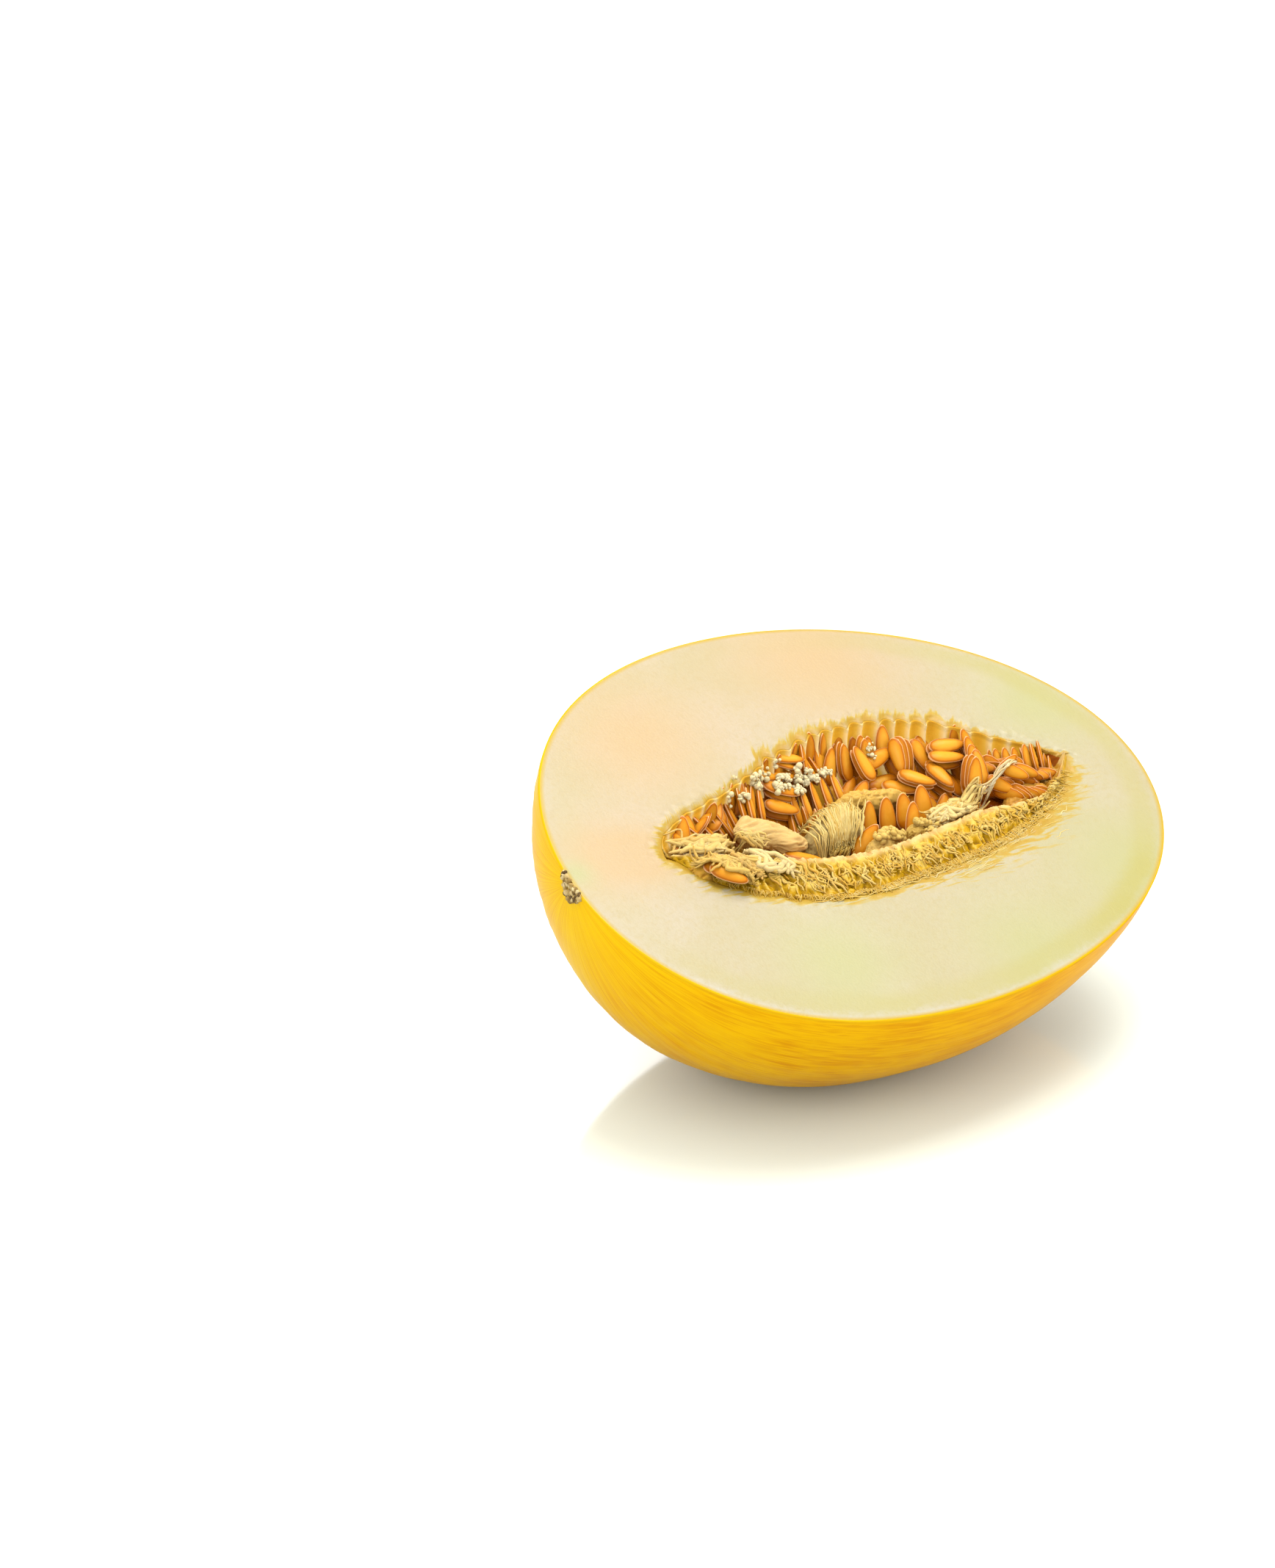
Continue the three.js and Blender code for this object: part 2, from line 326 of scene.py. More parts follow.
# %% Camera and stage
CAMERA_FROM_CORE = np.array([-670.8, -916.5, 526.2])
CAMERA_TOWARDS = Vector((0.4941, 0.7641, -0.4147))
LENS_MM, SENSOR_MM = 98.6, 36.0

scene = bpy.context.scene
camera = bpy.data.objects.new("camera", bpy.data.cameras.new("camera"))
camera.data.lens = LENS_MM
camera.data.sensor_width = SENSOR_MM
camera.location = (PLACE + CAMERA_FROM_CORE) * MM
camera.rotation_euler = CAMERA_TOWARDS.to_track_quat("-Z", "Y").to_euler()
scene.collection.objects.link(camera)
scene.camera = camera
scene.view_settings.view_transform = "Standard"

FLOOR_SIZE = 12.0
floor_mesh = bpy.data.meshes.new("floor")
corners = [(x * FLOOR_SIZE, y * FLOOR_SIZE, 0) for x, y in ((-1, -1), (1, -1), (1, 1), (-1, 1))]
floor_mesh.from_pydata(corners, [], [(0, 1, 2, 3)])
floor = bpy.data.objects.new("floor", floor_mesh)
scene.collection.objects.link(floor)

floor_finish, tree, shader = new_material("Pale grey acrylic sheet, polished")
set_shader(
    tree, shader, Base_Color=linear("#ccd2ca"), Roughness=0.1, IOR=1.6, Specular_IOR_Level=0.7
)
floor.data.materials.append(floor_finish)

ROOM_LIGHT, ROOM_GLEAM = 1.9, 0.12
room = bpy.data.worlds.new("white room")
scene.world = room
room.use_nodes = True
tree = room.node_tree
gleaming = add(tree, "LightPath", out="Is Glossy Ray")
strength = add(tree, "MapRange", {"Value": gleaming, "To Min": ROOM_LIGHT, "To Max": ROOM_GLEAM})
tree.links.new(strength, tree.nodes["Background"].inputs["Strength"])
tree.nodes["Background"].inputs["Color"].default_value = linear("#ffffff")

AIM = Vector((0, 0, 0.05))
PANELS = [
    # name, place in m, size in m, watts, whether it gleams on wet skin
    ("overhead panel", (0.26, 0.02, 1.46), 0.9, 25.0, True),
    ("left panel", (-1.3, -0.3, 0.7), 0.8, 7.0, True),
    ("right panel", (1.1, -1.1, 0.5), 1.0, 9.5, False),
    ("back panel", (0.6, 1.2, 0.9), 0.5, 3.0, True),
]
for name, place, size, watts, gleams in PANELS:
    light = bpy.data.lights.new(name, "AREA")
    light.size, light.energy = size, watts
    lamp = bpy.data.objects.new(name, light)
    lamp.location, lamp.visible_glossy = place, gleams
    lamp.rotation_euler = (AIM - Vector(place)).to_track_quat("-Z", "Y").to_euler()
    scene.collection.objects.link(lamp)
print("camera at, m:", [round(v, 3) for v in camera.location])

# %% [markdown]
# ## The hollow's outline
#
# A melon grows its seeds on soft pulp that fills a spindle-shaped hollow. In the cut face the
# hollow shows as a long lens. On its far side each seed left a niche in the wall, so the outline
# there is scalloped like a row of fingertips, with a thin wall of pulp between two niches. The
# scallops are part of the outline, so flesh and pulp share them. The pulp hangs inwards in the
# middle of the near side and towards the stem on the far side, so there the edge is drawn in.

# %% Hollow outline and depth
NICHE_SPACING, NICHE_REACH = 5.4, 2.6
NICHE_WANDER, RAGGED = 0.9, 1.2
NEAR_RISE, NEAR_RISE_MIDDLE, NEAR_RISE_SPREAD = 5.3, 10.0, 36.0
FAR_FALL, FAR_FALL_MIDDLE, FAR_FALL_SPREAD = 3.2, -38.0, 18.0


def niches(x):
    """How deep into its niche a place lies: 1 in the middle of one, 0 at the wall between two.

    It is the size of a sine, raised to a power that rounds it like a fingertip. Its phase wanders,
    so that no two niches are equally wide.
    """
    wander = NICHE_WANDER * noise(stretched(x, 0, 0), 14.0, seed=3)
    phase = x / NICHE_SPACING + wander
    return np.abs(np.sin(np.pi * phase)) ** 0.7


def bell(x, height, middle, spread):
    """A bell curve: height at its middle, fading to nothing over about two spreads."""
    return height * np.exp(-(((x - middle) / spread) ** 2))


def far_fall(x):
    """How far the far edge is drawn in at x, in mm."""
    return bell(x, FAR_FALL, FAR_FALL_MIDDLE, FAR_FALL_SPREAD)


def lens(along):
    """The lens at a share of its half length: its width from 0 to 1, and its middle line.

    The width is one minus the share squared, to a power that grows towards the blossom end and
    sharpens the lens there. The middle line is a sine.
    """
    fullness = HOLLOW_FULLNESS + HOLLOW_SHARPENING * along
    swell = np.maximum(1 - along * along, 0) ** fullness
    return swell, HOLLOW_SIDEWAYS + HOLLOW_SWAY * np.sin(np.pi * along)


def hollow(along, across):
    """x, y and swell in the hollow's lens for shares of its half length and half width.

    A point lies its share of the half width off the middle line. Then the near side slips towards
    the blossom end, the far edge gets its scallops, and bell curves draw both edges in.
    """
    swell, centre = lens(along)
    x = HOLLOW_MIDDLE + HOLLOW_LENGTH * along + NEAR_SLIP * np.maximum(-across, 0) * swell**0.25
    centre = centre + TIP_LIFT * smooth_step(along, 0.75, 1)
    reach = (0.25 + 0.75 * smooth_step(x, -50, -5)) * (1 - 0.75 * smooth_step(x, 45, 70))
    uneven = 0.3 + noise(stretched(x, 7, 0), 6.0, seed=5)
    scallop = NICHE_REACH * reach * uneven * (niches(x) - 0.4) * smooth_step(across, 0.45, 1.0)
    ragged = RAGGED * (noise(stretched(x, across, 0), (3.5, 9, 9), seed=8) - 0.5)
    edge = (scallop + ragged * np.abs(across) ** 4) * swell**0.3
    y = centre + HOLLOW_WIDTH * swell * across + edge
    y = y + bell(x, NEAR_RISE, NEAR_RISE_MIDDLE, NEAR_RISE_SPREAD) * np.maximum(-across, 0) ** 2
    return x, y - far_fall(x) * np.maximum(across, 0) ** 2, swell


def hollow_floor(swell, across):
    """Height of the hollow's floor: each cross-section is half an ellipse."""
    return -HOLLOW_DEPTH * swell * np.sqrt(np.maximum(1 - across * across, 0))


outline_angles = np.linspace(0, 2 * np.pi, 512, endpoint=False)
outline_x, outline_y, _ = hollow(np.cos(outline_angles) * 0.999, np.sign(np.sin(outline_angles)))
print("hollow, mm:", round(np.ptp(outline_x), 1), "x", round(np.ptp(outline_y), 1))

# %% [markdown]
# ## Rind and flesh
#
# Rind and flesh grew as one, so they are one mesh. Its rings start at the floor of the hollow,
# climb its wall, cross the cut face, turn over the thin edge of the rind and run down the belly.
# Cutting an egg with a boolean would give the same outline, but its mesh would follow nothing,
# while rings that follow the fruit can carry relief and painted marks.
#
# A real rind isn't a perfect egg: it has shallow lengthwise furrows that gather at the stem. A
# knife leaves the face nearly flat, with a slight wave, and tears it a little next to the hollow.

# %% Rings of rind and flesh
AROUND, WALL_RINGS, FACE_RINGS, BELLY_RINGS = 512, 14, 56, 98
around = -np.linspace(0, 2 * np.pi, AROUND, endpoint=False)


def furrows(ball):
    """Relief of the rind in mm: lengthwise furrows, deeper near the stem, and broad swells."""
    turn = np.arctan2(ball[..., 1], -ball[..., 2])
    lengthwise = HALF_LENGTH * ball[..., 0]
    girth = RADIUS * turn
    near_stem = smooth_step(-lengthwise, 35, 92)
    fine = noise(stretched(girth, lengthwise, 0), (3.2, 42, 1), seed=11) - 0.5
    broad = noise(stretched(girth, lengthwise, 5), (11, 70, 1), seed=12) - 0.5
    swell = noise(stretched(girth, lengthwise, 9), (34, 46, 1), seed=13) - 0.5
    return fine * (0.16 + 0.5 * near_stem) + broad * (0.35 + 0.6 * near_stem) + 0.8 * swell


def hollow_wall():
    """Rings from the hollow's floor to its edge: circles of a unit disc, laid into the hollow."""
    share = np.sin(np.linspace(0.06, 1, WALL_RINGS) * np.pi / 2)[:, None]
    along = share * np.cos(around) * 0.999
    across = share * np.sin(around) / np.sqrt(1 - along * along)
    across = np.clip(across, -1, 1)
    x, y, swell = hollow(along, across)
    return stretched(x, y, np.minimum(hollow_floor(swell, across), -0.5 * (share > 0.999)))


def cut_face(inner, outer):
    """Rings across the cut face, from the hollow's edge to the skin, closer at both.

    Its height is a slow wave from the knife, plus a torn grain that fades 8 mm from the hollow,
    less half a millimetre where the face turns down into it.
    """
    t = np.linspace(0, 1, FACE_RINGS + 2)[1:-1]
    share = (t - 0.4 * np.sin(2 * np.pi * t) / (2 * np.pi))[:, None, None]
    face = inner + (outer - inner) * share
    face[..., 2] = 0
    gap = np.linalg.norm((face - inner)[..., :2], axis=-1)
    swept = noise(face, (26, 60, 1), seed=21) - 0.5
    grain = noise(face, (1.6, 1.1, 1), seed=22) - 0.5
    face[..., 2] = 0.35 * swept + 0.5 * grain * (1 - smooth_step(gap, 1, 8))
    face[..., 2] *= smooth_step(gap, 0, 2.5)
    face[..., 2] -= 0.5 * (1 - smooth_step(gap, 0, 3))
    return face


wall = hollow_wall()
edge = skin(lower_ball(around, 0.0))
down = [[0.0035, 0.012], np.linspace(0.022, np.pi / 2, BELLY_RINGS)[:-1]]
ball = lower_ball(around, np.concatenate(down)[:, None])
belly = skin(ball, furrows(ball))
face = cut_face(wall[-1], belly[0] * [1, 1, 0])
rings = np.concatenate([wall, face, belly])
print("rings on wall, face and belly:", len(wall), len(face), len(belly))

# %% [markdown]
# The colours of the flesh follow its shape, so what they follow is painted on the vertices: how
# far each spot lies from the skin, the hollow and the stem scar, how far the golden fibres reach,
# and where a tint shows. Along the far side a flame of gold runs out of each niche and leans
# towards the stem. At the stem end the fibres fan out round the hollow's tip instead.

# %% Marks for the colours
FLAME_LEAN, FLAME_ROOM_MM, FAN_MM = 0.6, 20, 45.0
PEACH_SPOTS = [(-52, 46, 26), (20, 62, 30), (-86, 6, 14), (-71, 3, 11)]
GREEN_SPOTS = [(-38, -50, 20), (22, -62, 24), (72, -42, 26), (80, 26, 20), (-97, 3, 5)]
x_mm, y_mm, z_mm = rings[..., 0], rings[..., 1], rings[..., 2]


def nearest(points, line):
    """Distance of each point from the nearest point of a line, in the cut face's plane."""
    gaps = [np.hypot(*(row[:, None, :2] - line[None, :, :2]).transpose(2, 0, 1)) for row in points]
    return np.array([gap.min(1) for gap in gaps])


def blush(spots):
    """How strongly a tint shows: the sum of soft round spots (x, y, radius) in mm."""
    return sum(np.exp(-((x_mm - a) ** 2 + (y_mm - b) ** 2) / radius**2) for a, b, radius in spots)


on_wall, on_belly = 0 * wall[..., 0], 0 * belly[..., 0]
from_skin = np.concatenate([on_wall + 40, nearest(face, edge), on_belly])
from_hollow = np.concatenate([on_wall, nearest(face, wall[-1]), on_belly + 60])
from_scar = np.linalg.norm(rings - [-HALF_LENGTH, 0, 0], axis=-1)
below_cut = np.maximum(0, -z_mm) * (from_skin == 0)
girth = np.arctan2(y_mm, -z_mm + 1e-6) * RADIUS
near_side = 1 - smooth_step(y_mm, -8, 8)
membrane = (1 - niches(x_mm)) ** 2 * smooth_step(y_mm, 6, 16) * (from_hollow < 1.5)

at_stem = smooth_step(-x_mm, 38, 62)
leaning_mm = x_mm - FLAME_LEAN * np.minimum(from_hollow, FLAME_ROOM_MM)
around_mm = at_stem * np.abs(around) * FAN_MM + (1 - at_stem) * leaning_mm
flames = 1.6 + 5.6 * niches(leaning_mm) ** 1.5 * noise(stretched(leaning_mm, 0, 2), 7.0, seed=15)
flames *= smooth_step(x_mm, -40, -5) * (1 - smooth_step(x_mm, 48, 64))
reach_mm = 1.2 + (1 - near_side) * (flames + 1.4 * smooth_step(-x_mm, 0, 30))
reach_mm += near_side * (3 + 6 * smooth_step(x_mm, -30, 40)) + 1.5 * smooth_step(-x_mm, 48, 62)
white_mm = 1.0 + 4.5 * smooth_step(-y_mm, 5, 50) * (1 - smooth_step(x_mm, 30, 80))
ring_strength = 0.08 + 0.42 * smooth_step(x_mm, 10, 80) + 0.46 * smooth_step(-y_mm, 20, 60)
print("the gold reaches out, mm:", reach_mm.min().round(1), "to", reach_mm.max().round(1))

# %% The half as one skin
on_floor = settled(rings)
on_floor[..., 2] = np.maximum(on_floor[..., 2], 0)
floor_pole = settled(np.array([HOLLOW_MIDDLE, HOLLOW_SIDEWAYS, -HOLLOW_DEPTH]))
belly_pole = settled(skin(np.array([0.0, 0.0, -1.0])))
belly_pole[2] = max(belly_pole[2], 0)
half = shells(
    "cut_melon", on_floor[None], np.array([[floor_pole, belly_pole]]),
    from_skin=from_skin, from_hollow=from_hollow, around_mm=around_mm, girth=girth,
    along_mm=x_mm, across_mm=y_mm, membrane=membrane, near=near_side, reach_mm=reach_mm,
    white_mm=white_mm, ring_strength=ring_strength, from_scar=from_scar, below_cut=below_cut,
    peach=blush(PEACH_SPOTS), green=blush(GREEN_SPOTS),
)
band = np.arange(len(half.data.polygons)) // AROUND
on_rind = band >= len(wall) + len(face) - 1
half.data.polygons.foreach_set("material_index", on_rind.astype(np.int32))

# %% [markdown]
# ### The flesh
#
# Cut flesh is wet, pale and a little translucent: light goes in, scatters in the juice, and
# comes out soft. Its colour runs in bands parallel to the skin: a thin yellow line of rind, a
# whitish layer, a greenish one, then cream that has a peach tint here and a green one there. Next
# to the hollow, golden fibres run out into the cream like a watercolour wash. Bands placed by
# coordinates would run straight, so all of that is drawn from the painted distances instead and
# bends with the outline. Noise squeezed along one distance and drawn out along another makes the
# fibres.

# %% Flesh material: cream and its tints
flesh, tree, shader = new_material("Ripe melon flesh, knife-cut and moist", FLESH_LIGHT)
CLOUD_MM, JUICE_MM = 22.0, 1.6
here = add(tree, "TexCoord", out="Object")
marks = {
    name: add(tree, "Attribute", out="Fac", attribute_name=name)
    for name in ("from_skin", "from_hollow", "around_mm", "along_mm", "across_mm", "membrane",
                 "near", "reach_mm", "white_mm", "ring_strength", "peach", "green")
}
clouds = add(tree, "TexNoise", {"Vector": here, "Scale": per_mm(CLOUD_MM), "Detail": 4.0})
uneven_mm = add(tree, "MapRange", {"Value": clouds, "To Min": -3.0, "To Max": 3.0})
cells = add(tree, "TexNoise", {
    "Vector": here, "Scale": per_mm(JUICE_MM), "Detail": 2.0, "Roughness": 0.7,
})
cells_mm = add(tree, "Math", {0: cells, 1: 3.0, 2: marks["from_skin"]}, **TIMES_PLUS)
wavy_mm = add(tree, "Math", {0: cells_mm, 1: uneven_mm}, operation="ADD")

juicy = add(tree, "MapRange", {"Value": cells, "From Min": 0.45, "From Max": 0.75, "To Max": 0.5})
body = add(tree, "ValToRGB", {0: clouds}, stops=[(0.35, "#ebdbac"), (0.65, "#f2e1c0")])
for share, tint in ((juicy, "#e6cf92"), (marks["peach"], "#f8d59c"), (marks["green"], "#e6e0a0")):
    body = add(tree, "Mix", {FACTOR: share, FIRST: body, SECOND: tint}, **COLOURS)
print("clouds in the cream, mm:", CLOUD_MM, "juicy cells, mm:", JUICE_MM)

# %% Flesh material: bands along the skin
BAND_MM = 14.0
ring = add(tree, "MapRange", {"Value": wavy_mm, "From Min": 2.0, "From Max": 6.0}, **SMOOTH)
ends = add(tree, "MapRange", {"Value": wavy_mm, "From Min": BAND_MM, "From Max": 8.0}, **SMOOTH)
fading = add(tree, "MapRange", {"Value": clouds, "From Min": 0.38, "From Max": 0.6, "To Min": 0.6})
for share in (ends, marks["ring_strength"], fading):
    ring = add(tree, "Math", {0: ring, 1: share}, **TIMES)
white_layer = add(tree, "MapRange", {
    "Value": wavy_mm, "From Min": marks["white_mm"], "From Max": 0.0,
}, **SMOOTH)
rind_line = add(tree, "MapRange", {"Value": marks["from_skin"], "From Min": 1.8, "From Max": 0.7})
for share, tint in ((ring, "#e3d777"), (white_layer, "#f4ead2"), (rind_line, "#f4ce4a")):
    body = add(tree, "Mix", {FACTOR: share, FIRST: body, SECOND: tint}, **COLOURS)
print("the greenish band ends below the skin, mm:", BAND_MM)

# %% [markdown]
# The golden stain has one pattern on each side. On the far side feathers run straight out of the
# hollow, so the noise is narrow along the outline and long across it. On the near side the knife
# dragged the fibres along the fruit, so there it is narrow across the fruit and long along it.

# %% Flesh material: gold next to the hollow
GRAIN_MM = 0.8
patterns = []
for first, first_mm, second, second_mm, rough in (
    ("around_mm", 1.2, "from_hollow", 20 / 3, {"Detail": 3.0}),
    ("along_mm", 9.0, "across_mm", 1.5, {"Detail": 4.0, "Distortion": 1.0}),
):
    axes = add(tree, "CombineXYZ", {
        "X": add(tree, "Math", {0: marks[first], 1: 1 / first_mm}, **TIMES),
        "Y": add(tree, "Math", {0: marks[second], 1: 1 / second_mm}, **TIMES),
    })
    patterns.append(add(tree, "TexNoise", {"Vector": axes, "Scale": 1.0, **rough}))
fibres = add(tree, "Mix", {0: marks["near"], 2: patterns[0], 3: patterns[1]})
spread = add(tree, "MapRange", {
    "Value": fibres, "From Min": 0.3, "From Max": 0.7, "To Min": 0.3, "To Max": 1.7,
})
spread_mm = add(tree, "Math", {0: spread, 1: marks["reach_mm"]}, **TIMES)
stain = add(tree, "MapRange", {
    "Value": marks["from_hollow"], "From Min": spread_mm, "From Max": 0.0,
}, **SMOOTH)
gold = add(tree, "ValToRGB", {0: stain}, stops=[
    (0.0, "#f4de8c"), (0.35, "#f2d058"), (1.0, "#eeb62c"),
])
soaked = add(tree, "MapRange", {"Value": stain, "From Min": 0.04, "From Max": 0.5})
for share, tint in ((soaked, gold), (marks["membrane"], "#f2d49c")):
    body = add(tree, "Mix", {FACTOR: share, FIRST: body, SECOND: tint}, **COLOURS)

grain = add(tree, "TexNoise", {"Vector": here, "Scale": per_mm(GRAIN_MM), "Detail": 2.0})
bump = add(tree, "Bump", {"Height": grain, "Strength": 0.3, "Distance": 0.2 * MM}, out="Normal")
set_shader(
    tree, shader, Base_Color=body, Roughness=0.4, IOR=1.36, Normal=bump,
    Subsurface_Weight=0.3, Subsurface_Radius=(1.0, 0.8, 0.45), Subsurface_Scale=0.003,
)
print("torn grain, mm:", GRAIN_MM, "nodes in the flesh:", len(tree.nodes))

# %% [markdown]
# ### The rind
#
# A ripe winter melon has a smooth rind with a thin coat of natural wax. It is a satin yellow that
# deepens to orange where the sun reached it, and pales to lemon at the stem. Streaks run
# lengthwise in loose patches, with hairlines between them, and gather at the stem scar, where the
# stalk broke off and left cork. Next to the cut the rind is thin enough to look greener. Streaks
# in plain coordinates would slice through the belly, so they are noise drawn out along the
# fruit's own girth and length, which are painted on and wrap round it.

# %% Rind material: streaks, hairlines and cork
rind, tree, shader = new_material("Ripe melon rind, natural wax", RIND_LIGHT)
PATCH_MM, CORK_MM = 24.0, 1.4
here = add(tree, "TexCoord", out="Object")
girth_mm, along_mm, cut_mm, scar_mm = (
    add(tree, "Attribute", out="Fac", attribute_name=name)
    for name in ("girth", "along_mm", "below_cut", "from_scar")
)
grown = []
for width_mm, length_mm, detail, distortion in ((2.2, 24.0, 6.0, 1.6), (0.9, 12.0, 4.0, 1.0)):
    axes = add(tree, "CombineXYZ", {
        "X": add(tree, "Math", {0: girth_mm, 1: 1 / width_mm}, **TIMES),
        "Y": add(tree, "Math", {0: along_mm, 1: 1 / length_mm}, **TIMES),
    })
    grown.append(add(tree, "TexNoise", {
        "Vector": axes, "Scale": 1.0, "Detail": detail, "Distortion": distortion,
    }))
streaks, hairs = grown

patches = add(tree, "TexNoise", {"Vector": here, "Scale": per_mm(PATCH_MM), "Detail": 3.0})
patchy = add(tree, "MapRange", {"Value": patches, "From Min": 0.35, "From Max": 0.65}, **SMOOTH)
past_stem = add(tree, "MapRange", {
    "Value": along_mm, "From Min": -99.0, "From Max": -70.0, "To Min": 0.45,
})
streaked = add(tree, "MapRange", {
    "Value": streaks, "From Min": 0.42, "From Max": 0.66, "To Max": 0.85,
})
patchy = add(tree, "Math", {0: patchy, 1: past_stem}, **TIMES)
streaked = add(tree, "Math", {0: streaked, 1: patchy}, **TIMES)
hairline = add(tree, "MapRange", {
    "Value": hairs, "From Min": 0.48, "From Max": 0.68, "To Max": 0.6,
})
thinned = add(tree, "MapRange", {"Value": cut_mm, "From Min": 1.4, "From Max": 0.2, "To Max": 0.7})
cork = add(tree, "TexNoise", {"Vector": here, "Scale": per_mm(CORK_MM), "Detail": 3.0})
frayed_mm = add(tree, "Math", {0: cork, 1: -6.0, 2: scar_mm}, **TIMES_PLUS)
corky = add(tree, "MapRange", {"Value": frayed_mm, "From Min": 3.0, "From Max": 1.5})
cork_colour = add(tree, "ValToRGB", {0: cork}, stops=[
    (0.38, "#6a4810"), (0.5, "#a8822c"), (0.6, "#d8b464"),
])
print("patches of streaks, mm:", PATCH_MM, "cork crumbs, mm:", CORK_MM)

# %% Rind material: ripe yellow under them
SUN_MM, PORE_MM = 40.0, 1.2
clouds = add(tree, "TexNoise", {"Vector": here, "Scale": per_mm(SUN_MM), "Detail": 2.0})
along_rind = add(tree, "MapRange", {"Value": along_mm, "From Min": -100.0, "From Max": 100.0})
shifted = add(tree, "Math", {0: clouds, 1: 0.3, 2: along_rind}, **TIMES_PLUS)
ripe = add(tree, "ValToRGB", {0: shifted}, stops=[
    (0.12, "#fcce08"), (0.24, "#fec406"), (0.42, "#fec002"), (0.75, "#fcb806"), (1.0, "#f8b414"),
])
for share, tint in (
    (streaked, "#e49200"), (hairline, "#e09000"), (thinned, "#deb018"), (corky, cork_colour),
):
    ripe = add(tree, "Mix", {FACTOR: share, FIRST: ripe, SECOND: tint}, **COLOURS)
pores = add(tree, "TexNoise", {"Vector": here, "Scale": per_mm(PORE_MM), "Detail": 2.0})
relief = add(tree, "Math", {0: pores, 1: 0.35, 2: streaks}, **TIMES_PLUS)
bump = add(tree, "Bump", {"Height": relief, "Strength": 0.25, "Distance": 0.3 * MM}, out="Normal")
set_shader(
    tree, shader, Base_Color=ripe, Roughness=0.34, IOR=1.45, Normal=bump,
    Specular_IOR_Level=0.02,
)

dress(half, flesh, "rind_and_flesh", "melon_half")
half.data.materials.append(rind)
print("materials on the half:", [m.name for m in half.data.materials])

# %% [markdown]
# ## The bed of pulp
#
# The pulp fills the hollow as a ragged cushion. Next to the viewer it swells over the edge as a
# spongy lip, full of little holes, because the knife tore through a net of threads. Behind a
# pale crest it drops to a fibrous bed for the seeds, and climbs again at the far side between the
# niches. A bump in the material would be quicker, but torn pulp shows its holes in outline too. So
# one closed skin does all of that: a cross-section that changes along the fruit, with the net,
# the threads and the niches added as height. How high each spot stands in its own relief is
# painted on, so that the colour can be dark in the holes and pale on the threads; the dark in the
# holes is partly painted shade.

# %% Cross-sections of the pulp
def lip_crest(along):
    """Where the lip's crest runs, as a share of the half width: the lip thins out to the right.

    Towards the stem a parabola moves it in, and on the right a smooth step takes it to the edge.
    """
    return LIP_CREST + LIP_SPREAD * np.minimum(0, along) ** 2 - 0.34 * smooth_step(along, 0.35, 0.8)


def pulp_top(along, across):
    """Height of the pulp: a rise to the lip's crest, then a wide dip that ends at the far rim.

    The rise is a quarter of a sine wave. The dip is half an ellipse that hangs from a straight
    line between crest and rim.
    """
    reach = (1 - along * along) ** BED_FULLNESS
    crest = lip_crest(along)
    climb = np.clip((across + 1) / (crest + 1), 0, 1)
    lip = (LIP_RISE * reach + 0.6) * np.sin(climb * np.pi / 2) - 0.6
    share = np.clip((across - crest) / (RIM_START - crest), 0, 1)
    rim = LIP_RISE * reach * (1 - share) + FAR_RIM * share
    bed = rim - BED_DEPTH * reach * np.sqrt(np.maximum(0, 1 - (2 * share - 1) ** 2))
    return np.where(across < crest, lip, bed), crest, share, reach


print("lip and bed in the middle, mm:", [pulp_top(0.0, at)[0].round(1) for at in (-0.5, 0.2)])

# %% [markdown]
# The smooth section gets its torn skin next. The relief is mostly height, but between two niches
# the skin is pushed sideways instead, and at the near edge it laps a little over the cut flesh.

# %% The torn skin of the pulp
STATIONS, TOP_POINTS, UNDER_POINTS = 310, 210, 26
END_SHARE, OVERLAP_MM, TUCK_MM = 0.99, 1.5, 0.6
LIP_RELIEF_MM, BED_RELIEF_MM, FOLD_MM = 2.7, 1.8, 3.0


def pulp_surface(along, across):
    """The pulp's torn top as points, with masks for its lip, crest and wall, and its relief.

    On the lip, threads run down from the crest and wriggle: sharp crests of noise, stretched
    across the lip, on places that a slower noise has shifted. On the far wall the skin folds
    inwards between two niches.
    """
    x, y, _ = hollow(along, across)
    z, crest, share, reach = pulp_top(along, across)
    spot = stretched(x, y, z)
    wriggle = 2.4 * noise(spot, (2.4, 2.4, 4), 30) + 5 * noise(spot, (9, 9, 9), 29)
    lip = smooth_step(across, crest + 0.03, crest - 0.10)
    rim = np.exp(-(((across - crest) / 0.055) ** 2))
    wall = smooth_step(share, 0.45, 0.9)
    bent = stretched(x + wriggle, y + 0.5 * wriggle, z)
    net = 0.55 * crests(bent, (2.2, 4.4, 4.5), 31) + 0.45 * crests(bent, (1.0, 2.0, 3), 32)
    threads = 0.6 * crests(bent, (1.6, 5, 3), 33) + 0.4 * crests(bent, (0.9, 2.5, 2), 34)
    fold = 1 - niches(x)
    relief = lip * (net * (1 - 0.75 * rim) + 0.72 * rim) + (1 - lip) * threads
    relief = relief - 0.22 * smooth_step(-across, 0.8, 1.0)
    torn = np.minimum(1, 5 * (1 - np.abs(across)))
    height = lip * LIP_RELIEF_MM * (relief - 0.62) + (1 - lip) * BED_RELIEF_MM * (threads - 0.6)
    z = z + torn * height + 0.5 * rim * reach
    folds = wall * FOLD_MM * fold**1.5 * np.sin(np.pi * np.clip(share, 0, 1)) ** 0.5 * reach
    y = y - folds * (0.35 + 0.65 * smooth_step(x, -45, -10))
    y = y - OVERLAP_MM * np.exp(-(((1 + across) / 0.05) ** 2))
    y = y + TUCK_MM * smooth_step(across, 0.986, 1.0)
    z = z - 0.02 - 0.15 * smooth_step(across, 0.99, 1.0)
    return stretched(x, y, z), lip, wall, relief, fold, rim


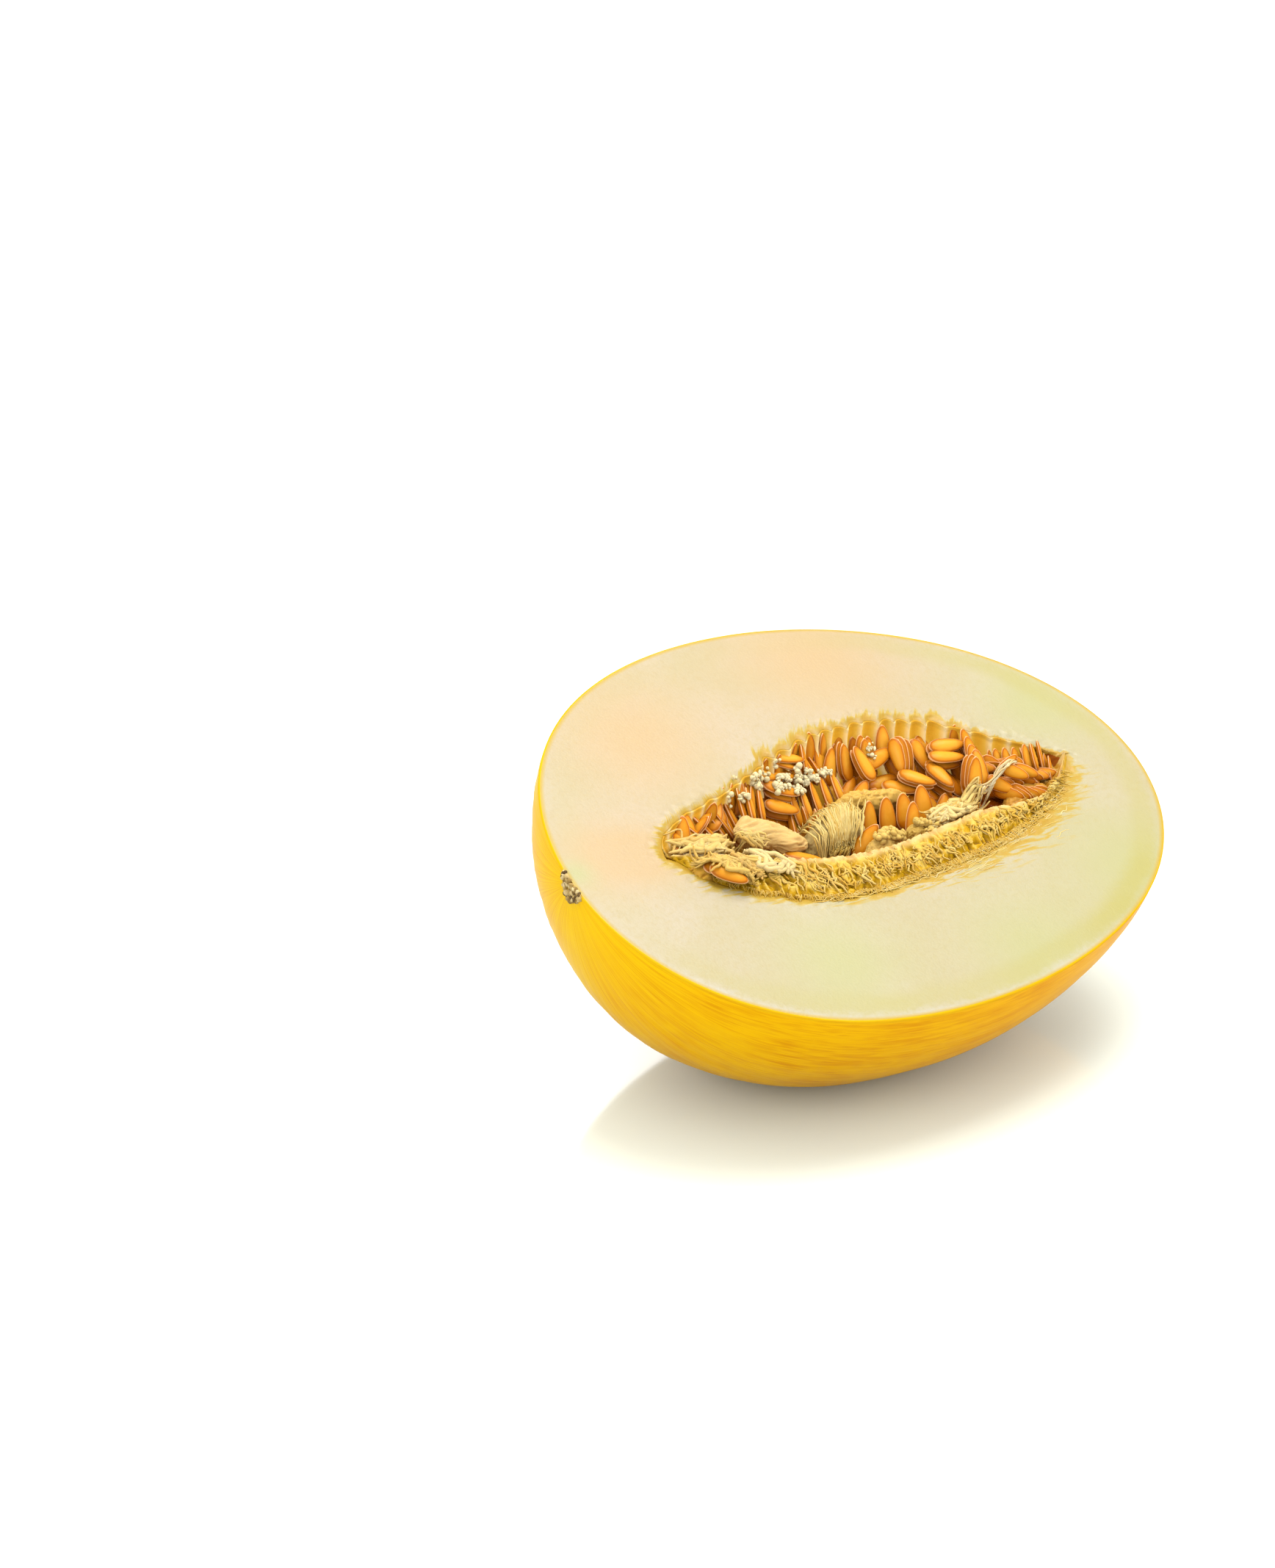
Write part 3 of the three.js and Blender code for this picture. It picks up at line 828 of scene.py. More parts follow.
def pulp_loops():
    """Closed loops round the pulp: over the torn top, then back under it along the hollow."""
    along = np.linspace(-END_SHARE, END_SHARE, STATIONS)[:, None]
    steps = np.linspace(1, -1, TOP_POINTS)
    over = 0.25 * np.sin(steps * np.pi / 2) + 0.75 * steps
    top, lip, wall, relief, fold, rim = pulp_surface(along, over[None])
    back = -np.cos(np.linspace(0, np.pi, UNDER_POINTS + 2)[1:-1])
    x, y, swell = hollow(along, back[None])
    under = stretched(x, y, np.minimum(0.96 * hollow_floor(swell, back[None]), -1.2))
    blank = np.zeros(under.shape[:2])
    return np.concatenate([top, under], 1), [
        np.concatenate([part, blank], 1) for part in (lip, wall, relief, fold * wall, rim)
    ]


loops, (lip, pulp_wall, relief, pulp_fold, pale_rim) = pulp_loops()
ends = np.stack([loops[0].mean(0), loops[-1].mean(0)])
depth = np.clip(-loops[..., 2] / BED_DEPTH, 0, 1)
pulp = shells(
    "torn_pulp", settled(loops)[None], settled(ends)[None],
    lip=lip, wall=pulp_wall, relief=relief, fold=pulp_fold, depth=depth, rim=pale_rim,
)

# %% [markdown]
# ### Wet pulp
#
# Pulp is mostly juice held in thin threads, so it shines like jelly and lets light in. Its holes
# are olive gold and its threads straw coloured to nearly white, and the darker holes are partly
# painted shade. Deeper in the hollow and wherever seeds stand higher next to it, the colour turns
# orange brown: that is painted shade. The far wall is lit from behind, by light that comes
# through the flesh from the cut face. A faint glow of its own stands for that light.

# %% Pulp material
wet_pulp, tree, shader = new_material("Wet placental pulp, torn", HOLLOW_LIGHT)
SPECK_MM = 1.1
marks = {
    name: add(tree, "Attribute", out="Fac", attribute_name=name)
    for name in ("lip", "wall", "relief", "fold", "depth", "rim", "gap")
}
here = add(tree, "TexCoord", out="Object")
specks = add(tree, "TexNoise", {"Vector": here, "Scale": per_mm(SPECK_MM), "Detail": 3.0})
# Colour follows height in the relief, so the holes are darker: partly the pulp's own colour, partly
# painted shade.
height = add(tree, "Math", {0: specks, 1: 0.3, 2: marks["relief"]}, **TIMES_PLUS)
sponge = add(tree, "ValToRGB", {0: height}, stops=[
    (0.42, "#a0720c"), (0.6, "#c8960e"), (0.82, "#e2ae20"), (1.02, "#f4cc5c"),
])
sponge = add(tree, "Mix", {FACTOR: marks["rim"], FIRST: sponge, SECOND: "#fae0aa"}, **COLOURS)
colour = add(tree, "ValToRGB", {0: height}, stops=[
    (0.4, "#a05206"), (0.65, "#cc8a1e"), (0.85, "#e2a840"), (1.0, "#f0c878"),
])
fingers = add(tree, "ValToRGB", {0: marks["fold"]}, stops=[
    (0.02, "#e2a52c"), (0.3, "#ecb844"), (0.8, "#f4d494"),
])
# Painted shade: the deeper the pulp lies in the hollow, the darker orange brown it is made.
painted_deep_shade = add(tree, "MapRange", {
    "Value": marks["depth"], "From Min": 0.55, "From Max": 1.0, "To Max": 0.85,
})
# The gap mark lays painted shade where seeds next to the pulp stand higher.
for share, tint in (
    (marks["wall"], fingers), (painted_deep_shade, "#8a3c04"), (marks["gap"], "#9c4806"), (marks["lip"], sponge),
):
    colour = add(tree, "Mix", {FACTOR: share, FIRST: colour, SECOND: tint}, **COLOURS)
through = add(tree, "MapRange", {"Value": marks["depth"], "From Min": 0.04, "From Max": 0.14})
through = add(tree, "Math", {0: through, 1: marks["wall"]}, **TIMES)
glow = add(tree, "Mix", {FACTOR: through, FIRST: "#000000", SECOND: fingers}, **COLOURS)
bump = add(tree, "Bump", {"Height": specks, "Strength": 0.5, "Distance": 0.35 * MM}, out="Normal")
set_shader(
    tree, shader, Base_Color=colour, Roughness=0.26, IOR=1.37, Normal=bump,
    Specular_IOR_Level=0.1, Subsurface_Weight=0.2, Subsurface_Radius=(1.0, 0.7, 0.25),
    Subsurface_Scale=0.0015, Emission_Color=glow, Emission_Strength=0.95,
)
dress(pulp, wet_pulp, "wet_pulp", "seed_pulp")
print("pulp relief:", relief.min().round(2), "to", relief.max().round(2))

# %% [markdown]
# ## Seeds
#
# A melon seed is a flat teardrop about 11.6 mm long. Its faces are plump and its edge is a thin
# pale flange. The solid model already says where the seeds on top lie: the long, middle and short
# directions of each solid's points give the seed's pose, and its narrow end gives the tip. A fine
# seed goes in each of those places, and plainer ones fill the gaps below, where they are half
# hidden. A physics drop would lay them flat like coins, but real seeds stay in the rows that they
# grew in.

# %% One seed
SEED_SIZE = SEED_LENGTH, SEED_WIDTH, SEED_THICKNESS = 11.6, 4.8, 2.1
SEED_BLUNTNESS, SEED_TAPER = 2.7, 0.27
FINE_SEED, PLAIN_SEED = (15, 28), (7, 10)


def seed_skin(ring_count, points):
    """Rings of one seed, tip at +x, and how near its edge each point is.

    The half width is a blunt oval's that narrows to the tip. The thickness follows a sine raised
    to a power, which pulls it thin near the edge and leaves the faces plump.
    """
    along = -np.cos(np.linspace(0.12, np.pi - 0.12, ring_count))[:, None]
    turn = np.linspace(0, 2 * np.pi, points, endpoint=False)[None]
    outer = np.abs(along) ** SEED_BLUNTNESS
    swell = (1 - outer) ** 0.5 * (1 - SEED_TAPER * along)
    sine = np.sin(turn)
    flange = np.sign(sine) * np.abs(sine) ** 1.45
    x = SEED_LENGTH / 2 * along + 0 * turn
    y = SEED_WIDTH / 2 * swell * np.cos(turn)
    z = SEED_THICKNESS / 2 * swell**0.8 * flange
    return stretched(x, y, z), np.sqrt(outer + (1 - outer) * np.cos(turn) ** 2)


def cad_seed_poses():
    """Centre, 3 x 3 directions (long, wide, thick) and name of every solid seed, in metres."""
    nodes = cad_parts
    names = sorted(name for name in nodes if name.startswith("seed_") and name != "seed_pulp")
    centres, frames = [], []
    for name in names:
        mesh = nodes[name].data
        points = np.empty(len(mesh.vertices) * 3)
        mesh.vertices.foreach_get("co", points)
        points = np.unique(points.reshape(-1, 3).round(6), axis=0)
        centre = points.mean(0)
        directions = np.linalg.svd(points - centre, full_matrices=False)[2]
        long_way, wide_way = (points - centre) @ directions[0], (points - centre) @ directions[1]
        if (long_way * np.abs(wide_way)).sum() > 0:
            directions[0] *= -1
        directions[2] = np.cross(directions[0], directions[1])
        centres.append(centre)
        frames.append(directions)
    return np.array(centres), np.array(frames), names


seed_centres, seed_frames, seed_names = cad_seed_poses()
own_centres, own_turns = (seed_centres / MM - PLACE) @ TURN, seed_frames @ TURN
print("seeds in the solid model:", len(seed_names))

# %% [markdown]
# A seed's turn is worked out in the cut frame: roll about its length, lift its tip, then turn it
# to its heading. A seed that only copies its neighbour gets a little chance in its turn. All
# chance comes from one seeded generator, so every run lays the same seeds.

# %% Turns and places of seeds
chance = np.random.default_rng(7)


def seed_turn(heading, lean, roll):
    """Directions of seeds from arrays of angles in degrees: roll, then lean, then heading."""
    turned, lifted, rolled = np.radians(heading), np.radians(lean), np.radians(roll)
    long_way = stretched(
        np.cos(turned) * np.cos(lifted), np.sin(turned) * np.cos(lifted), np.sin(lifted)
    )
    flat_way = stretched(-np.sin(turned), np.cos(turned), 0 * turned)
    up_way = np.cross(long_way, flat_way)
    wide_way = flat_way * np.cos(rolled)[:, None] + up_way * np.sin(rolled)[:, None]
    return np.stack([long_way, wide_way, np.cross(long_way, wide_way)], 1)


def on_bed(x, y, raise_by):
    """A point over the smooth bed at x, y of the cut frame, and how far it is past the crest."""
    along = np.clip((x - HOLLOW_MIDDLE) / HOLLOW_LENGTH, -0.97, 0.97)
    swell, centre = lens(along)
    across = np.clip((y - centre) / (HOLLOW_WIDTH * swell), -0.99, 0.99)
    z, crest, _, _ = pulp_top(along, across)
    return stretched(x, y, z + raise_by), across - crest


def tumbled(turn, by):
    """A seed's three directions with some chance in them, squared up again."""
    left, _, right = np.linalg.svd(turn + chance.normal(0, by, (3, 3)))
    return left @ right


print("a seed laid along x points to:", seed_turn([0.0], [0.0], [0.0])[0, 0].round(2))

# %% [markdown]
# Seeds lie against each other like shingles. So each seed of the solid gets neighbours beside and
# a little below it, turned nearly as it is, and then more seeds are thrown at random over the bed.
# One is kept only where it doesn't crowd another. Left of the middle some seeds stand free like
# the ribs of a fan, so nothing is added there.

# %% Seeds that fill the gaps
SHINGLE_MM, SHINGLE_DROP, CLOSEST = 2.2, 0.7, 0.72
STEM_SIDE_TOP, RIM_ROOM_MM = -2.5, 1.5
THROWN_X, THROWN_Y, THROWN_Z = (-64, 73), (-16, 33), (-0.5, 2.5)


def in_fan(x, y):
    """Whether a place is among the seeds that stand free like the ribs of a fan."""
    return -15 < x < 9 and 11.5 < y < 20.5


def left_bare(x, y, z):
    """Whether no seed is added at a place: lumps and open pulp, the fan, the stem side's top."""
    bare = x < 2 and y < 8 - 0.12 * x or x > 22 and y < 1 or -4 < x < 30 and y < 9
    return bare or in_fan(x, y) or x < 0 and z > STEM_SIDE_TOP


def past_rim(x, y):
    """Whether a place is too near the far rim, which is a lens that is drawn in at the stem."""
    share = min(1, abs(x - HOLLOW_MIDDLE) / HOLLOW_LENGTH)
    return y > HOLLOW_WIDTH * (1 - share**2) ** HOLLOW_FULLNESS - far_fall(x) - RIM_ROOM_MM


def offered(given, turns, throws):
    """Places and directions on offer: shingles beside the given seeds, then random throws."""
    for side in (1, -1):
        for spot, turn in zip(given, turns):
            if in_fan(*spot[:2]):
                continue
            beside = SHINGLE_MM * side * turn[2] - [0, 0, SHINGLE_DROP]
            yield spot + beside + chance.normal(0, 0.4, 3), tumbled(turn, 0.06)
    for _ in range(throws):
        x, y = chance.uniform(*THROWN_X), chance.uniform(*THROWN_Y)
        spot = on_bed(x, y, chance.uniform(*THROWN_Z))[0]
        yield spot, tumbled(turns[np.linalg.norm(given - spot, axis=1).argmin()], 0.2)


def gap_seeds(wanted, throws):
    """Seeds on offer that lie in the bed and crowd no other, told by an egg round each."""
    kept, turns = own_centres, list(own_turns)
    given = len(kept)
    for spot, turn in offered(kept, own_turns, throws):
        x, y, z = spot
        if on_bed(x, y, 0)[1] < 0.2 or left_bare(x, y, z) or past_rim(x, y):
            continue
        crowding = np.linalg.norm((kept - spot) @ turn.T / SEED_SIZE, axis=1).min()
        if crowding >= CLOSEST and len(kept) - given < wanted:
            kept = np.vstack([kept, spot])
            turns.append(turn)
    return kept[given:], np.array(turns[given:])


gap_row = gap_seeds(wanted=260, throws=3000)
print("seeds in the gaps:", len(gap_row[0]))

# %% [markdown]
# Each niche of the far wall holds one seed that stands on end, as it grew. Rows of thin empty
# husks lie at both ends, where seeds stay small. A table with a row for each is easier to adjust
# than so many calls, and later the lumps, strings and curds get one too.

# %% Seeds in the niches and rows of husks
NICHE_SLIMNESS, HUSK_SLIMNESS = 0.8, 0.7
NICHE_SEED_DEPTH, NICHE_SEED_LEAN = 5.6, 66
SHOWN_LEFT, SHOWN_RIGHT = (-34, 14), (44, 52)


def niche_seeds():
    """A seed in each niche of the far wall that shows, standing up with its tip at the rim.

    The middle of a niche is where its depth is greater than just before and just after.
    """
    x = np.arange(-56.0, 66.0, 0.25)
    inside = niches(x)
    x = x[1:-1][(inside[1:-1] > inside[:-2]) & (inside[1:-1] > inside[2:])]
    x = x[np.any([(x > start) & (x < end) for start, end in (SHOWN_LEFT, SHOWN_RIGHT)], axis=0)]
    share = np.clip((x - HOLLOW_MIDDLE) / HOLLOW_LENGTH, -1, 1)
    _, rim_y, _ = hollow(share, np.ones_like(share))
    deep = NICHE_SEED_DEPTH + chance.uniform(-0.4, 1.6, len(x)) + 0.8 * (x < -20) - 0.7 * (x > 44)
    places = stretched(x, rim_y - 2.6 + chance.normal(0, 0.5, len(x)), -deep)
    heading = 90 + chance.normal(0, 8, len(x))
    lean = NICHE_SEED_LEAN + chance.normal(0, 6, len(x))
    roll = np.where(x > 44, chance.normal(0, 14, len(x)), chance.normal(0, 45, len(x)))
    return places, seed_turn(heading, lean, roll)


def laid_row(count, first, last, heading, lean, roll, loose):
    """A row of seeds from place first to place last, turned alike but for loose degrees."""
    places = np.linspace(first, last, count) + chance.normal(0, 0.3, (count, 3))
    angles = np.array([heading, lean, roll])[:, None] + chance.normal(0, loose, (3, count))
    return places, seed_turn(*angles)


HUSK_ROWS = [
    # count, first place, last place, heading, lean, roll, loose
    (6, (53, -3, -3.4), (64, -6.0, -2.8), -50, 6, 70, 9),
    (7, (54, 2.5, -3.8), (68, 1.0, -2.6), -40, 20, 65, 9),
    (6, (50, 9, -3.6), (62, 7.5, -3.0), -50, 15, 50, 16),
    (7, (-59, 8, -3.6), (-41, 16, -4.4), 60, 40, -15, 24),
    (6, (-40, 17.5, -5.0), (-24, 21.5, -5.6), 70, 40, -15, 20),
]
rows = [gap_row, niche_seeds(), *(laid_row(*row) for row in HUSK_ROWS)]
extra_centres, extra_turns = (np.concatenate(each) for each in zip(*rows))
extra_counts = [len(places) for places, _ in rows]
slimness = [1.0, NICHE_SLIMNESS] + [HUSK_SLIMNESS] * len(HUSK_ROWS)
print("extra seeds:", extra_counts)

# %% [markdown]
# What lies where in the hollow is kept in a height map: a grid of small squares, each with the
# highest point of pulp or seed in it. It tells how far each spot lies below its neighbours, where
# little light comes in: there painted shade darkens pulp and seeds. It will also carry the torn
# scraps.

# %% Height map of the hollow
CELL_MM = 0.5
MAP_LOW, MAP_CELLS = np.array([-80.0, -45.0]), (330, 180)


def height_map(*clouds):
    """The highest z of all points in each cell, in mm of the cut frame; gaps take a neighbour's."""
    top = np.full(MAP_CELLS, -30.0)
    for points in clouds:
        points = points.reshape(-1, 3)
        i, j = ((points[:, :2] - MAP_LOW) / CELL_MM).astype(int).T
        np.maximum.at(top, (i, j), points[:, 2])
    for axis in (0, 1, 0, 1):
        top = np.maximum(top, np.maximum(np.roll(top, 1, axis), np.roll(top, -1, axis)))
    return top


def on_top(x, y):
    """Height of the hollow's contents at places x, y of the cut frame."""
    i = np.clip(((x - MAP_LOW[0]) / CELL_MM).astype(int), 0, MAP_CELLS[0] - 1)
    j = np.clip(((y - MAP_LOW[1]) / CELL_MM).astype(int), 0, MAP_CELLS[1] - 1)
    return contents[i, j]


def below_neighbours(points, start, full):
    """0 where points lie on top, 1 where something next to them stands full mm higher."""
    return smooth_step(on_top(points[..., 0], points[..., 1]) - points[..., 2], start, full)


print("height map, mm:", [count * CELL_MM for count in MAP_CELLS])

# %% [markdown]
# Seeds vary by a few hundredths in size and by a tenth in thickness. Those in front are a little
# plumper, and those at the blossom end stayed small. The seeds of the fan and at the blossom end
# are rolled about their length, so that more of a face shows than the solid's pose tells.

# %% All seeds as two pieces
TIP_SHRINK, FRONT_PLUMPNESS = 0.22, 0.28
FRONT_X, FRONT_Y, FRONT_LONG, FRONT_WIDE = 17, 4, 12, 5
TIP_X, TIP_Y, TIP_OUTWARD = 54, 4, [-0.5, -0.8, 0.4]
FAN_FACES, TIP_FACES = [0, -0.3, 0.9], [-0.5, -1.2, 0.4]


def laid(centres, directions, slim, detail):
    """Rings and poles of a seed on each place, and the marks that all seeds carry."""
    shape, edge_share = seed_skin(*detail)
    x, y = centres[:, 0], centres[:, 1]
    size = 1 + chance.normal(0, 0.03, (len(centres), 1, 1, 1))
    size = size * (1 - TIP_SHRINK * smooth_step(x, 44, 56))[:, None, None, None]
    thick = slim * (1 + chance.normal(0, 0.12, len(centres)))
    in_front = np.exp(-(((x - FRONT_X) / FRONT_LONG) ** 2) - ((y - FRONT_Y) / FRONT_WIDE) ** 2)
    in_front = in_front[:, None, None]
    plump = stretched(1, 1 + FRONT_PLUMPNESS * in_front, thick[:, None, None])
    rings = (shape[None] * size * plump) @ directions[:, None] + centres[:, None, None]
    tips = np.array([[-1, 0, 0], [1, 0, 0]]) * SEED_LENGTH / 2
    poles = tips[None] * size[:, 0] @ directions + centres[:, None]
    tone = chance.uniform(0, 1, (len(centres), 1, 1)) * (1 - 0.7 * in_front)
    return rings, poles, {"edge": edge_share[None], "tone": tone}


def laid_back(centres, turns):
    """Seeds of the fan and of the tip rolled about their length, to show more of a face."""
    fan = np.array([in_fan(*spot[:2]) for spot in centres])
    tip = (centres[:, 0] > TIP_X) & (centres[:, 1] > TIP_Y)
    outward = np.where(tip, turns[:, 2] @ TIP_OUTWARD, turns[:, 2, 2])
    towards = np.where(tip[:, None], TIP_FACES, FAN_FACES)
    facing = turns[:, 2] * np.where(outward < 0, -1, 1)[:, None] + towards
    wide_way = np.cross(facing, turns[:, 0])
    wide_way /= np.linalg.norm(wide_way, axis=1, keepdims=True)
    rolled = np.stack([turns[:, 0], wide_way, np.cross(turns[:, 0], wide_way)], 1)
    return np.where((fan | tip)[:, None, None], rolled, turns)


own_seeds = laid(own_centres, laid_back(own_centres, own_turns), 1.0, FINE_SEED)
more_seeds = laid(extra_centres, extra_turns, np.repeat(slimness, extra_counts), PLAIN_SEED)
contents = height_map(loops[:, :TOP_POINTS], own_seeds[0], more_seeds[0])
# Each seed also carries gap: painted shade where something next to it stands higher.
seeds, seeds_below = (
    shells(name, settled(seed_rings), settled(seed_poles), **seed_marks,
           gap=below_neighbours(seed_rings, 1.4, 6))
    for name, (seed_rings, seed_poles, seed_marks) in
    (("melon_seeds", own_seeds), ("seeds_below", more_seeds))
)
# Painted shade on the pulp wherever seeds or pulp next to it stand higher; none on the wall or the
# lip, and less at the blossom end.
painted_gap_shade = below_neighbours(loops, 1.0, 5.0) * (1 - pulp_wall) * (1 - lip)
painted_gap_shade *= 1 - 0.85 * smooth_step(loops[..., 0], 56, 66)
paint(pulp, (1,) + loops.shape[:2], gap=painted_gap_shade)
print("contents, mm:", contents.min(), "to", contents.max().round(1))

# %% [markdown]
# ### Seed coat
#
# The coat is hard, smooth and wet with juice, so each seed has a highlight. It is golden orange
# in the middle and pinkish tan at the flange, and no two seeds are quite the same tone. Painted
# shade darkens it towards its edge, where its faces turn away, and most just inside the flange.
# Painted shade also darkens a seed wherever it lies below its neighbours. How near the edge a spot
# is, how ripe its seed is and how deep it lies are painted on, because every seed has another
# place and turn, and plain coordinates know nothing of that.

# %% Seed material
coat, tree, shader = new_material("Seed coat, wet and polished", SEED_LIGHT)
MOTTLE_MM = 2.5
marks = {
    name: add(tree, "Attribute", out="Fac", attribute_name=name) for name in ("edge", "tone", "gap")
}
here = add(tree, "TexCoord", out="Object")
mottle = add(tree, "TexNoise", {"Vector": here, "Scale": per_mm(MOTTLE_MM), "Detail": 3.0})
# Painted shade: darker towards the edge, where the faces turn away, and darkest just inside the
# flange.
painted_edge_shade = add(tree, "MapRange", {"Value": marks["edge"], "From Min": 0.4, "From Max": 0.9})
painted_rim_shade = add(tree, "MapRange", {
    "Value": marks["edge"], "From Min": 0.76, "From Max": 0.88, "To Max": 0.68,
})
flange = add(tree, "MapRange", {
    "Value": marks["edge"], "From Min": 0.92, "From Max": 0.99,
}, **SMOOTH)
gold = add(tree, "ValToRGB", {0: marks["tone"]}, stops=[
    (0.0, "#d8860e"), (0.5, "#e2981a"), (1.0, "#f0ae36"),
])
# The gap mark adds painted shade where a seed lies below its neighbours.
for share, tint in (
    (mottle, "#eca634"), (painted_edge_shade, "#d47c10"), (marks["gap"], "#d0760a"),
    (painted_rim_shade, "#a4580c"), (flange, "#ecb47c"),
):
    gold = add(tree, "Mix", {FACTOR: share, FIRST: gold, SECOND: tint}, **COLOURS)
bump = add(tree, "Bump", {"Height": mottle, "Strength": 0.15, "Distance": 0.3 * MM}, out="Normal")
set_shader(
    tree, shader, Base_Color=gold, Roughness=0.3, IOR=1.45, Normal=bump, Specular_IOR_Level=0.12,
    Subsurface_Weight=0.05, Subsurface_Radius=(1.0, 0.5, 0.1), Subsurface_Scale=0.001,
)
dress(seeds, coat, "seed_coat", *seed_names)
dress(seeds_below, coat, "seed_coat")
print("seed mottle, mm:", MOTTLE_MM, "seeds dressed:", len(seed_names) + sum(extra_counts))

# %% [markdown]
# ## Torn scraps
#
# Where the pulp tore it left scraps: one smooth peach-coloured lump, a mound of upright fibres,
# strings pulled out in a bundle, curls at the stem end, and white curds on the seeds. They all
# lie on whatever is below them, as the height map tells.
#
# A lump is an ellipsoid on its own rings, pushed out along its normals by a relief: nearly none on
# the peach lump, sharp upright ridges on the fibrous mound.

# %% Lumps
def lump(centre, half, turn, tilt, point, ridge_mm, ridge_size, seed, uneven_mm=1.4, blunt=0.5):
    """A lump's points and relief: an ellipsoid, narrower towards its +x end, with ridges.

    centre and half are in mm, turn and tilt in degrees about z and y, point is how much it
    narrows, ridge_mm is how high the ridges stand, uneven_mm is how uneven the outline is, and
    blunt is the power that shapes the ends: 0.5 for an ellipsoid, more for a leaf.
    """
    along = -np.cos(np.linspace(0.05, np.pi - 0.05, 70))[:, None]
    angle = np.linspace(0, 2 * np.pi, 90, endpoint=False)[None]
    swell = (1 - along * along) ** blunt * (1 - point * along)
    body = stretched(along + 0 * angle, swell * np.cos(angle), swell * np.sin(angle)) * half
    pose = Matrix.Rotation(math.radians(turn), 3, "Z") @ Matrix.Rotation(math.radians(tilt), 3, "Y")
    body = body @ np.array(pose).T + centre
    bent = body + 1.6 * noise(body, 3.5, seed)[..., None]
    ridges = 0.65 * crests(bent, ridge_size, seed + 1)
    ridges += 0.35 * crests(bent, np.multiply(ridge_size, 0.5), seed + 2)
    uneven = noise(body, 5.0, seed + 3) - 0.5
    return push_out(body, ridge_mm * (ridges - 0.6) + uneven_mm * uneven), ridges


LUMPS = [
    # tone, peach, then centre, half, turn, tilt, point, ridge_mm, ridge_size, seed and the rest
    (0.58, 0.45, (-29.8, 3.4, -4.8), (12.2, 4.4, 3.7), -25, 8, 0.34, 1.3, (7, 0.8, 1.0), 41,
     3.6, 0.56),
    (0.78, 0.0, (-6.4, 2.6, -11.4), (11.6, 5.8, 9.0), 16, 0, -0.2, 1.5, (1.3, 1.3, 14), 45, 2.4),
    (0.54, 0.1, (13, 10.6, -11.2), (13, 3.4, 6.0), -6, 3, 0.0, 1.7, (1.1, 1.1, 2.4), 149, 3.0),
    (0.4, 0.0, (30, -5, -10.5), (11, 4.2, 8.0), 10, -3, 0.1, 1.1, (3, 1.2, 1.5), 49),
    (0.7, 0.1, (-52.5, 5.0, -4.4), (8.0, 2.6, 2.8), -18, 2, 0.1, 1.0, (4, 0.8, 1.2), 53),
    (0.8, 0.5, (-54, -0.6, -3.6), (7.6, 2.6, 2.8), -24, 0, 0.0, 1.0, (4, 0.8, 1.2), 57),
    (0.6, 0.1, (-45, -9, -3.4), (7, 3.4, 3.8), -40, 0, 0.0, 1.0, (4, 1.4, 2), 151),
    (0.25, 0.1, (60, -4.5, -6.2), (9, 4.6, 3.4), 10, -4, 0.1, 1.1, (3, 1.2, 1.5), 155),
    (0.4, 0.0, (-60, -6.5, -1.2), (4.5, 3.6, 2.6), -50, 0, 0.0, 0.9, (3, 1.0, 1.5), 159),
    (0.6, 0.1, (3, -9.5, -6.4), (6, 3.2, 4.2), 15, 0, 0.0, 0.9, (1.5, 1.0, 1.5), 163),
    (0.6, 0.0, (17, -8, -6.4), (3.4, 3, 4.2), 0, 0, 0.0, 0.9, (1.5, 1.0, 1.5), 167),
]
shapes, ridges = map(np.array, zip(*(lump(*spec) for _, _, *spec in LUMPS)))
tone, peach = np.array([row[:2] for row in LUMPS]).T[..., None, None]
lump_poles = np.stack([shapes[:, 0].mean(1), shapes[:, -1].mean(1)], 1)
lumps = shells(
    "pulp_lumps", settled(shapes), settled(lump_poles), relief=ridges, tone=tone, peach=peach
)
contents = np.maximum(contents, height_map(shapes))

# %% [markdown]
# A string of pulp is a thin tube along a path. The frame that carries its round profile is made
# from the path itself: the cross product of its direction with straight up gives one side, and
# a second cross product the other. A path is a straight line that noise makes wriggle, laid over
# whatever the height map holds. Bevelled curves would look the same, but arrays of tubes are
# faster by the hundred, and each tube can carry its own painted tone.

# %% Tubes along draped paths
STRING_POINTS = 26


def tubes(paths, radii, around=7):
    """Rings of round tubes along k paths (k, m, 3), with radii (k, m), and their end points."""
    onward = np.gradient(paths, axis=1)
    onward /= np.maximum(np.linalg.norm(onward, axis=-1, keepdims=True), 1e-6)
    side = np.cross(onward, [0.05, 0.02, 1.0])
    side /= np.linalg.norm(side, axis=-1, keepdims=True)
    other = np.cross(onward, side)
    angle = np.linspace(0, 2 * np.pi, around, endpoint=False)[None, None, :, None]
    profile = side[:, :, None] * np.cos(angle) + other[:, :, None] * np.sin(angle)
    rings = paths[:, :, None] + profile * radii[:, :, None, None]
    first = paths[:, 0] - onward[:, 0] * radii[:, :1]
    return rings, np.stack([first, paths[:, -1] + onward[:, -1] * radii[:, -1:]], 1)


